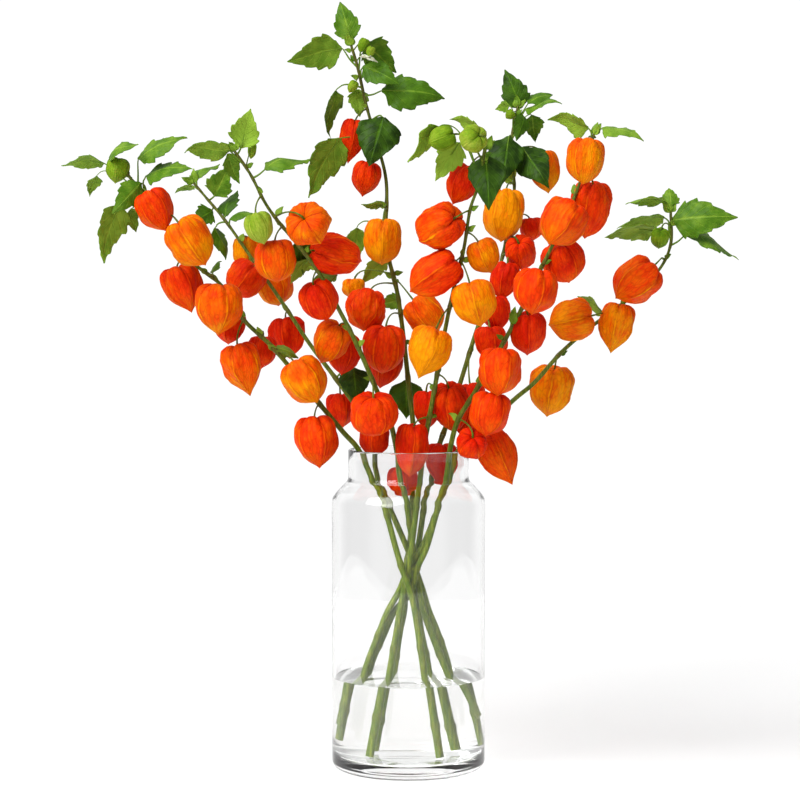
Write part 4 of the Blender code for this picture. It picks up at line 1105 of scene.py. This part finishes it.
class VaseSettings(bpy.types.PropertyGroup):
    """Sizes and colours of the vase and its water."""

    steps: bpy.props.IntProperty(
        name="Steps", description="Steps round the vase", default=144, min=24, max=256)
    water_level: length_setting(
        "Water level", "Height of the water's surface above the table", WATER_LEVEL)
    meniscus: length_setting("Meniscus", "How far the water climbs at the glass", 0.6)
    glass_tint: colour_setting("Glass tint", "What the glass takes from the light", "fefefe")
    water_tint: colour_setting("Water tint", "What the water takes from the light", "fcfdfc")


class StemSettings(bpy.types.PropertyGroup):
    """Sizes and colours of the stems and stalks."""

    sides: bpy.props.IntProperty(name="Sides", description="Sides of a stem", default=14, min=5, max=32)
    swelling: share_setting("Swelling", "How much thicker a stem is at its knots", 0.22)
    low_green: colour_setting("Low green", "Skin near the vase", "4e660e")
    high_green: colour_setting("High green", "Skin near the tips", "34400c")
    streak: colour_setting("Streak", "Pale long streaks", "86902e")
    knot_brown: colour_setting("Knot brown", "Knots and scars", "5c5222")
    fresh_green: colour_setting("Fresh green", "Leaf stalks", "6a9022")


class HuskSettings(bpy.types.PropertyGroup):
    """Sizes and colours of the papery husks."""

    rib_depth: share_setting(
        "Rib depth", "How far the paper lies back between two ribs, as a share of the radius", 0.19)
    groove_depth: share_setting("Groove depth", "How deep the crown is creased along each rib", 0.2)
    fold_depth: share_setting("Fold depth", "How deep the long folds are", 0.2)
    crumple_depth: share_setting("Crumple depth", "How far the paper is crumpled", 0.23)
    vein_cell: length_setting("Vein mesh", "Width of the net of veins", 3.2)
    yellow: colour_setting("Yellow", "Paper that is just turning", "f79c00")
    orange: colour_setting("Orange", "Half-ripe paper", "f36a00")
    red_orange: colour_setting("Red orange", "Ripe paper", "f24200")
    red: colour_setting("Red", "Paper that is fully ripe", "dc2200")
    # The veins' colour, which also darkens the painted shade in the crown's creases and beside the ribs
    vein_and_shade: colour_setting("Vein", "What the veins take from the paper's colour", "a84822")


class GreenHuskSettings(bpy.types.PropertyGroup):
    """Sizes and colours of the husks that haven't ripened."""

    rib_depth: share_setting("Rib depth", "How far the skin lies back between two ribs", 0.09)
    vein_cell: length_setting("Vein mesh", "Width of the net of veins", 2.5)
    pale: colour_setting("Pale", "Raised parts", "b8c84c")
    green: colour_setting("Green", "Most of the skin", "82a420")
    deep: colour_setting("Deep", "Veins and crown", "507a0c")
    # The veins' colour, which also darkens the painted shade in the crown's creases and beside the ribs
    vein_and_shade: colour_setting("Vein", "What the veins take from the skin's colour", "7d9440")


class LeafSettings(bpy.types.PropertyGroup):
    """Sizes and colours of the leaves."""

    thickness: length_setting("Thickness", "Thickness of a blade", 0.5)
    breadth: bpy.props.FloatProperty(
        name="Breadth", description="How much wider a blade is than the CAD's flat one", default=1.06)
    tooth_depth: share_setting("Tooth depth", "Depth of the teeth as a share of the half width", 0.2)
    fold: share_setting("Fold", "How far the halves fold down from the midrib", 0.22)
    arch: share_setting("Arch", "Rise of the blade's middle as a share of its length", 0.1)
    dark: colour_setting("Dark", "Shaded and old blades", "1d3803")
    middle: colour_setting("Middle", "Most blades", "4e7a10")
    pale: colour_setting("Pale", "Young blades and veins", "90b436")


class FlowerSettings(bpy.types.PropertyGroup):
    """Size and colour of the open flower."""

    petal: length_setting("Petal", "Length of a petal", 10.0)
    white: colour_setting("White", "The petals", "eff2dc")


class StageSettings(bpy.types.PropertyGroup):
    """Lights and floor."""

    sun: bpy.props.FloatProperty(name="Sun", description="Strength of the soft slanting light", default=2.9)
    box_power: bpy.props.FloatProperty(
        name="Box power", description="Power of the soft box that the glass mirrors", default=9.0,
        unit="POWER")
    fill: bpy.props.FloatProperty(name="Fill", description="Brightness of the room", default=0.48)
    dim: bpy.props.FloatProperty(
        name="Dim", description="Brightness of the dark panels that give the glass its edges",
        default=0.3)
    floor: colour_setting("Floor", "Colour of the floor", "fbfbfb")


class BOUQUET_OT_blow_vase(bpy.types.Operator):
    """Turn the clear glass vase with its thick floor and rounded rim"""

    bl_idname = "bouquet.blow_vase"
    bl_label = "Blow the vase"

    def execute(self, context):
        settings = context.scene.bouquet_vase
        outer = wall_profile(VASE_RADIUS, NECK_RADIUS, FOOT_RADIUS, 0.0, 0.0, FOOT_PUSH_UP)
        inner = wall_profile(
            VASE_RADIUS - GLASS_WALL, NECK_RADIUS - GLASS_WALL, INNER_FOOT_RADIUS, GLASS_FLOOR, 1.0, 0.0)
        half = GLASS_WALL / 2
        rim = corner_points(NECK_RADIUS - half, VASE_HEIGHT - half, half, 180, 0, 8)[1:-1]
        vase = turned_piece("glass_vase", inner[::-1] + rim + outer, settings.steps, blown_glass(settings))
        vase.visible_shadow = False
        settle(vase, "vase")
        return {"FINISHED"}


class BOUQUET_OT_pour_water(bpy.types.Operator):
    """Fill the foot of the vase with still water"""

    bl_idname = "bouquet.pour_water"
    bl_label = "Pour the water"

    def execute(self, context):
        settings = context.scene.bouquet_vase
        level = settings.water_level / MM
        radius = VASE_RADIUS - GLASS_WALL + WATER_OVERLAP
        floor = GLASS_FLOOR - WATER_OVERLAP
        climb = settings.meniscus / MM
        profile = [(radius * share, level) for share in (0.0, 0.4, 0.8, 0.96, 0.975)]
        profile += [(radius - 0.9, level + climb * 0.3), (radius - WATER_OVERLAP, level + climb),
                    (radius, level + climb), (radius, level + climb - 0.3)]
        profile += corner_points(radius - FOOT_ROUND, floor + FOOT_ROUND, FOOT_ROUND, 0, -90, 10)
        profile += [(radius * share, floor) for share in (0.6, 0.3, 0.0)]
        water = turned_piece("still_water", profile, settings.steps, still_water(settings))
        water.visible_shadow = False
        settle(water, "water")
        return {"FINISHED"}


def stem_girth(share):
    """A stem's radius, in metres, at a share of its length."""
    return (STEM_BASE_RADIUS - (STEM_BASE_RADIUS - STEM_TOP_RADIUS) * share ** 1.3) * MM


def knotty_stem(name, branches, swelling):
    """A stem's points, with the radius and the brownness at each, from the knots where it branches."""
    roots = [(branch[-1], 0.55) for branch in branches]
    draw = random.Random(KNOT_SEED + int(name[-1]))
    for height in BARE_KNOTS:
        height += draw.uniform(-BARE_KNOT_SCATTER, BARE_KNOT_SCATTER)
        roots.append((at_height(ROUTES[name], height), 0.25))
    path = smooth_path([seen(*row) for row in ROUTES[name]], LINE_SPACING * MM)
    radii, knots = [], []
    for i, point in enumerate(path):
        near = [(math.exp(-((point - root).length / (KNOT_REACH * MM)) ** 2), brown)
                for root, brown in roots]
        swollen = swelling * min(sum(share for share, _ in near), 1.0)
        radii.append(stem_girth(i / (len(path) - 1)) * (1 + swollen))
        knots.append(max(share * brown for share, brown in near))
    return path, radii, knots


def husk_stalk(crown, tip, width, root):
    """The points and radii of a husk's stalk, which is thinner at its middle."""
    path = stalk_path(root, crown, (tip - crown).normalized(), STALK_POINTS)
    scale = min(1.0, width / (20 * MM)) ** 0.5
    radii = [STALK_RADIUS * MM * scale * (1.25 - 0.5 * math.sin(math.pi * i / (STALK_POINTS - 1)))
             for i in range(STALK_POINTS)]
    return path, radii


def leaf_stalk(base, tip, width, root, arch):
    """The points and radii of a leaf's stalk, which runs on under the blade as its midrib."""
    along, _, normal, _, length = leaf_frame(base, tip, width)
    rise = arch * length
    gap = (base - root).length
    if (base - root).dot(along) > FLAT_STALK_TURN * gap:
        path = [root, root.lerp(base, 0.5) - Vector((0, 0, 0.06 * gap)), base]
    else:
        path = stalk_path(root, base, along, 6)[:-1] + [base]
    path += [base + along * s * length + normal * (rise * math.sin(math.pi * s) - 0.25 * MM)
             for s in (0.1, 0.22, 0.34)]
    fine = smooth_path(path, LINE_SPACING * MM)
    return fine, [(1.0 - 0.75 * i / (len(fine) - 1)) * MM for i in range(len(fine))]


class BOUQUET_OT_grow_stems(bpy.types.Operator):
    """Sweep each stem with its knots, and the stalks of its husks and leaves"""

    bl_idname = "bouquet.grow_stems"
    bl_label = "Grow the stems"

    def execute(self, context):
        settings = context.scene.bouquet_stems
        arch = context.scene.bouquet_leaves.arch
        tree = tube_tree()
        material = green_stem(settings)
        for name in STEM_NAMES:
            husks, leaves = stem_layout(name)
            lines = [(*knotty_stem(name, (*husks, *leaves), settings.swelling), 0.0)]
            for _, _, *husk in husks:
                path, radii = husk_stalk(*husk)
                lines.append((path, radii, [0.6] + [0.0] * (len(path) - 1), 0.15))
            for leaf in leaves:
                path, radii = leaf_stalk(*leaf, arch)
                lines.append((path, radii, [0.5] + [0.0] * (len(path) - 1), 0.8))
            places, edges, girth, knot, fresh = [], [], [], [], []
            for path, radii, knots, youth in lines:
                start = len(places)
                places += path
                edges += [(i, i + 1) for i in range(start, len(places) - 1)]
                girth += radii
                knot += knots
                fresh += [youth] * len(path)
            source = point_mesh(name + "_lines", places, edges, {
                "girth": girth, "knot": knot, "fresh": fresh})
            stems = grown_piece(name + "_stalks", source, tree, {
                "Material": material, "Sides": settings.sides})
            settle(stems, name)
        return {"FINISHED"}


def hang_husks(kind, suffix, ripeness, sizes, material):
    """Grows the husks of one kind on every stem that has some."""
    tree = husk_tree()
    for number, name in enumerate(STEM_NAMES):
        rows = [husk for husk in stem_layout(name)[0] if husk[0] == kind]
        if not rows:
            continue
        numbers = {key: [] for key in HUSK_NUMBERS if key != "seat"}
        numbers["ripeness"] = []
        for _, i, crown, tip, width, _ in rows:
            draw = random.Random(100 * number + i + (50 if kind == "green" else 0))
            numbers["crown"].append(crown)
            numbers["facing"].append((tip - crown).to_track_quat("Z", "Y"))
            numbers["long"].append((tip - crown).length)
            numbers["wide"].append(width)
            numbers["turn"].append(0.7 * i)
            numbers["ribbing"].append(draw.uniform(0.6, 1.3))
            numbers["grooving"].append(draw.uniform(0.5, 1.4))
            numbers["rumple"].append(WRINKLED.get((name, i), draw.uniform(0.7, 1.25)))
            numbers["phase"].append(draw.uniform(0.0, 50.0))
            numbers["ripeness"].append(ripeness[name][i] if ripeness else draw.uniform(0.3, 0.7))
            numbers["plump"].append(PLUMPNESS[name][i] if ripeness else 0.6)
        source = point_mesh(name + "_crowns", numbers["crown"], [], numbers)
        husks = grown_piece(name + suffix, source, tree, {"Material": material, **sizes})
        settle(husks, name)


class BOUQUET_OT_hang_ripe_husks(bpy.types.Operator):
    """Hang the ripe orange and red husks from their stalks"""

    bl_idname = "bouquet.hang_ripe_husks"
    bl_label = "Hang the ripe husks"

    def execute(self, context):
        settings = context.scene.bouquet_husks
        tones = ((0.0, settings.yellow), (0.35, settings.orange), (0.7, settings.red_orange),
                 (1.0, settings.red))
        sizes = {"Rib Depth": settings.rib_depth, "Groove Depth": settings.groove_depth,
                 "Fold Depth": settings.fold_depth, "Crumple Depth": settings.crumple_depth}
        hang_husks("ripe", "_husks", RIPENESS, sizes, husk_paper("ripe_husk_paper", tones, settings))
        return {"FINISHED"}


class BOUQUET_OT_hang_green_husks(bpy.types.Operator):
    """Hang the small green husks that haven't ripened"""

    bl_idname = "bouquet.hang_green_husks"
    bl_label = "Hang the green husks"

    def execute(self, context):
        settings = context.scene.bouquet_green_husks
        tones = ((0.0, settings.pale), (0.5, settings.green), (1.0, settings.deep))
        sizes = {"Rib Depth": settings.rib_depth, "Points Around": 41, "Points Along": 24}
        hang_husks("green", "_green_husks", None, sizes, husk_paper("unripe_husk_skin", tones, settings))
        return {"FINISHED"}


def blade_numbers(base, frame_of_blade, draw, **own):
    """The numbers that place one leaf, leaflet or petal and give it its chance waves."""
    along, side, normal, width, length = frame_of_blade
    facing = Matrix((side, along, normal)).transposed().to_quaternion()
    return {"base": base, "facing": facing, "long": length, "wide": width,
            "curl": draw.uniform(-1.0, 1.0), "phase": draw.uniform(0.0, 9.0), **own}


def grow_blades(name, node, blades, tree, values):
    """Grows one blade for each row of numbers and ties the piece to its stem."""
    numbers = {key: [blade[key] for blade in blades] for key in blades[0]}
    source = point_mesh(name + "_bases", numbers["base"], [], numbers)
    settle(grown_piece(name, source, tree, values), node)


class BOUQUET_OT_grow_leaves(bpy.types.Operator):
    """Grow the toothed leaves of every stem, and the small leaflets at its knots"""

    bl_idname = "bouquet.grow_leaves"
    bl_label = "Grow the leaves"

    def execute(self, context):
        settings = context.scene.bouquet_leaves
        tree = leaf_tree()
        values = {"Material": leaf_skin(settings), "Thickness": settings.thickness,
                  "Tooth Depth": settings.tooth_depth, "Fold": settings.fold, "Arch": settings.arch,
                  "Breadth": settings.breadth}
        small = {**values, "Points Across": 7, "Points Along": 13}
        for number, name in enumerate(STEM_NAMES):
            husks, leaves = stem_layout(name)
            blades = []
            for i, (base, tip, width, _) in enumerate(leaves):
                shade = LEAF_SHADES[name][i]
                draw = random.Random(LEAF_SEED + 100 * number + i)
                # A negative count makes the teeth point at the leaf's tip, and the dark leaves, both old
                # ones and ones in painted shade, have hardly any
                blades.append(blade_numbers(
                    base, leaf_frame(base, tip, width), draw, shade=shade,
                    teeth=-5.0 if width >= FIVE_TOOTHED_WIDTH * MM else -4.0,
                    toothing=0.35 if shade < 0.2 else 1.0))
            grow_blades(name + "_leaves", name, blades, tree, values)
            end = seen(*ROUTES[name][-1])
            onward = (end - seen(*ROUTES[name][-2])).normalized()
            spots = [(husk[-1], Vector((0, 0, 0.4)), 6.0, 11.0) for husk in husks
                     if husk[-1].z > LOWEST_LEAFLET * MM]
            spots += [(end - onward * 2.0 * MM, onward * 1.6, 9.0, 14.0)] * TIP_LEAFLETS
            leaflets = []
            for i, (root, lean, shortest, longest) in enumerate(spots):
                draw = random.Random(LEAFLET_SEED + 100 * number + i)
                turn = draw.uniform(0.0, math.tau)
                out = Vector((math.cos(turn), 0.6 * math.sin(turn), draw.uniform(-0.3, 0.6)))
                way = (out + lean).normalized()
                length = draw.uniform(shortest, longest) * MM
                base = root + way * 1.5 * MM
                leaflets.append(blade_numbers(
                    base, leaf_frame(base, base + way * length, 0.55 * length), draw,
                    shade=draw.uniform(0.5, 0.85), teeth=-2.0, toothing=0.7))
            grow_blades(name + "_leaflets", name, leaflets, tree, small)
        return {"FINISHED"}


class BOUQUET_OT_open_flower(bpy.types.Operator):
    """Open the small white flower near the top of the middle stem"""

    bl_idname = "bouquet.open_flower"
    bl_label = "Open the flower"

    def execute(self, context):
        settings = context.scene.bouquet_flower
        calyx = [husk for husk in stem_layout(FLOWERING[0])[0] if husk[0] == "green"][FLOWERING[1]]
        axis = (calyx[3] - calyx[2]).normalized()
        aside = axis.cross(Vector((0, -1, 0))).normalized()
        petals = []
        for i in range(PETALS):
            out = Matrix.Rotation(math.tau * i / PETALS + 0.4, 3, axis) @ aside
            way = (out + axis * 0.25).normalized()
            side = way.cross(axis).normalized()
            spread_out = (way, side, side.cross(way), settings.petal * 0.85, settings.petal)
            petals.append(blade_numbers(
                calyx[3] - axis * 1.0 * MM, spread_out, random.Random(PETAL_SEED + i),
                shade=1.0, teeth=1.0, toothing=0.0))
        grow_blades(FLOWERING[0] + "_flower", FLOWERING[0], petals, leaf_tree(), {
            "Material": white_petal(settings), "Points Across": 9, "Points Along": 17,
            "Thickness": 0.4 * MM})
        return {"FINISHED"}


def lay_floor(scene, settings):
    """A wide oval of matt seamless paper, with next to no shine."""
    floor = bpy.data.meshes.new("floor")
    shape = bmesh.new()
    bmesh.ops.create_circle(shape, cap_ends=True, radius=1.0, segments=96)
    bmesh.ops.scale(shape, vec=FLOOR_SIZE, verts=shape.verts)
    shape.to_mesh(floor)
    shape.free()
    floor.materials.append(new_material("studio_paper", {
        "Base Color": (*settings.floor, 1.0), "Roughness": 0.9, "Specular IOR Level": 0.1})[0])
    ground = bpy.data.objects.new("floor", floor)
    ground.location.z = -FLOOR_DROP
    scene.collection.objects.link(ground)


def hang_lights(scene, settings):
    """A soft sun from the upper left, and a soft box that the glass mirrors."""
    sun = bpy.data.lights.new("key", "SUN")
    sun.energy = settings.sun
    sun.angle = math.radians(SUN_SPREAD)
    box = bpy.data.lights.new("soft_box", "AREA")
    box.energy = settings.box_power
    box.size = BOX_WIDTH
    for light, place in ((sun, SUN_PLACE), (box, BOX_PLACE)):
        lamp = bpy.data.objects.new(light.name, light)
        lamp.location = place
        toward = Vector(LIT_SPOT) - Vector(place)
        lamp.rotation_euler = toward.to_track_quat("-Z", "Y").to_euler()
        scene.collection.objects.link(lamp)


def light_room(scene, settings):
    """A white room with dark panels at both sides, which give the clear glass its grey edges."""
    world = bpy.data.worlds.new("white_room")
    scene.world = world
    world.use_nodes = True
    tree = world.node_tree
    tree.nodes.clear()
    way = add_node(tree, "ShaderNodeTexCoord").outputs["Generated"]
    parts = add_node(tree, "ShaderNodeSeparateXYZ", {"Vector": way})
    sideways = add_node(tree, MATH, (parts.outputs["X"],), operation="ABSOLUTE")
    panels = add_node(tree, "ShaderNodeMapRange", {
        "Value": sideways, "From Min": 0.78, "From Max": 0.95, "To Min": 1.0, "To Max": settings.dim},
        interpolation_type="SMOOTHSTEP")
    path = add_node(tree, "ShaderNodeLightPath")
    mirrored = add_node(tree, "ShaderNodeMapRange", {
        "Value": parts.outputs["Y"], "From Min": -0.2, "From Max": 0.2,
        "To Min": FRONT_MIRRORED, "To Max": BACK_MIRRORED})
    level = add_node(tree, "ShaderNodeMix", {
        "Factor": path.outputs["Is Singular Ray"], "A": settings.fill, "B": mirrored},
        data_type="FLOAT")
    strength = add_node(tree, MATH, (level, panels), operation="MULTIPLY")
    room = add_node(tree, "ShaderNodeBackground", {"Color": WHITE, "Strength": strength})
    white = add_node(tree, "ShaderNodeBackground", {"Color": WHITE, "Strength": BACKDROP})
    both = add_node(tree, "ShaderNodeMixShader", {0: path.outputs["Is Camera Ray"], 1: room, 2: white})
    add_node(tree, "ShaderNodeOutputWorld", {"Surface": both})


def place_camera(scene):
    """The camera at the viewpoint that the rows of places are seen from."""
    camera = bpy.data.cameras.new("camera")
    camera.lens = CAMERA_LENS
    camera.sensor_width = SENSOR_WIDTH
    camera.clip_end = 50.0
    eye = bpy.data.objects.new("camera", camera)
    eye.location = Vector((SIGHT_X, -SIGHT_DISTANCE, SIGHT_HEIGHT)) * MM
    eye.rotation_euler = (math.radians(90.0 - CAMERA_DIP), 0.0, 0.0)
    scene.collection.objects.link(eye)
    scene.camera = eye


class BOUQUET_OT_set_stage(bpy.types.Operator):
    """Lay the floor and set the lights and the camera"""

    bl_idname = "bouquet.set_stage"
    bl_label = "Set the stage"

    def execute(self, context):
        scene = context.scene
        settings = scene.bouquet_stage
        scene.view_settings.view_transform = "Standard"
        scene.cycles.max_bounces = scene.cycles.transmission_bounces = LIGHT_BOUNCES
        lay_floor(scene, settings)
        hang_lights(scene, settings)
        light_room(scene, settings)
        place_camera(scene)
        return {"FINISHED"}


STEPS = (
    BOUQUET_OT_blow_vase, BOUQUET_OT_pour_water, BOUQUET_OT_grow_stems, BOUQUET_OT_hang_ripe_husks,
    BOUQUET_OT_hang_green_husks, BOUQUET_OT_grow_leaves, BOUQUET_OT_open_flower, BOUQUET_OT_set_stage,
)
SETTINGS = {
    "bouquet_vase": VaseSettings, "bouquet_stems": StemSettings, "bouquet_husks": HuskSettings,
    "bouquet_green_husks": GreenHuskSettings, "bouquet_leaves": LeafSettings,
    "bouquet_flower": FlowerSettings, "bouquet_stage": StageSettings,
}


class BOUQUET_PT_panel(bpy.types.Panel):
    """The bouquet's steps and settings"""

    bl_idname = "BOUQUET_PT_panel"
    bl_label = "Physalis bouquet"
    bl_space_type = "VIEW_3D"
    bl_region_type = "UI"
    bl_category = "Bouquet"

    def draw(self, context):
        for step in STEPS:
            self.layout.operator(step.bl_idname)
        for key, group in SETTINGS.items():
            box = self.layout.box()
            for name in group.__annotations__:
                box.prop(getattr(context.scene, key), name)


def register():
    """Registers the classes, and a group of settings on the scene for each part."""
    for kind in (*SETTINGS.values(), *STEPS, BOUQUET_PT_panel):
        bpy.utils.register_class(kind)
    for key, group in SETTINGS.items():
        setattr(bpy.types.Scene, key, bpy.props.PointerProperty(type=group))


def unregister():
    """Takes the settings and the classes away again."""
    for key in SETTINGS:
        delattr(bpy.types.Scene, key)
    for kind in (BOUQUET_PT_panel, *reversed(STEPS), *reversed(SETTINGS.values())):
        bpy.utils.unregister_class(kind)


def main():
    """Runs every step in order."""
    register()
    for step in STEPS:
        group, name = step.bl_idname.split(".")
        getattr(getattr(bpy.ops, group), name)()


if __name__ == "__main__":
    main()
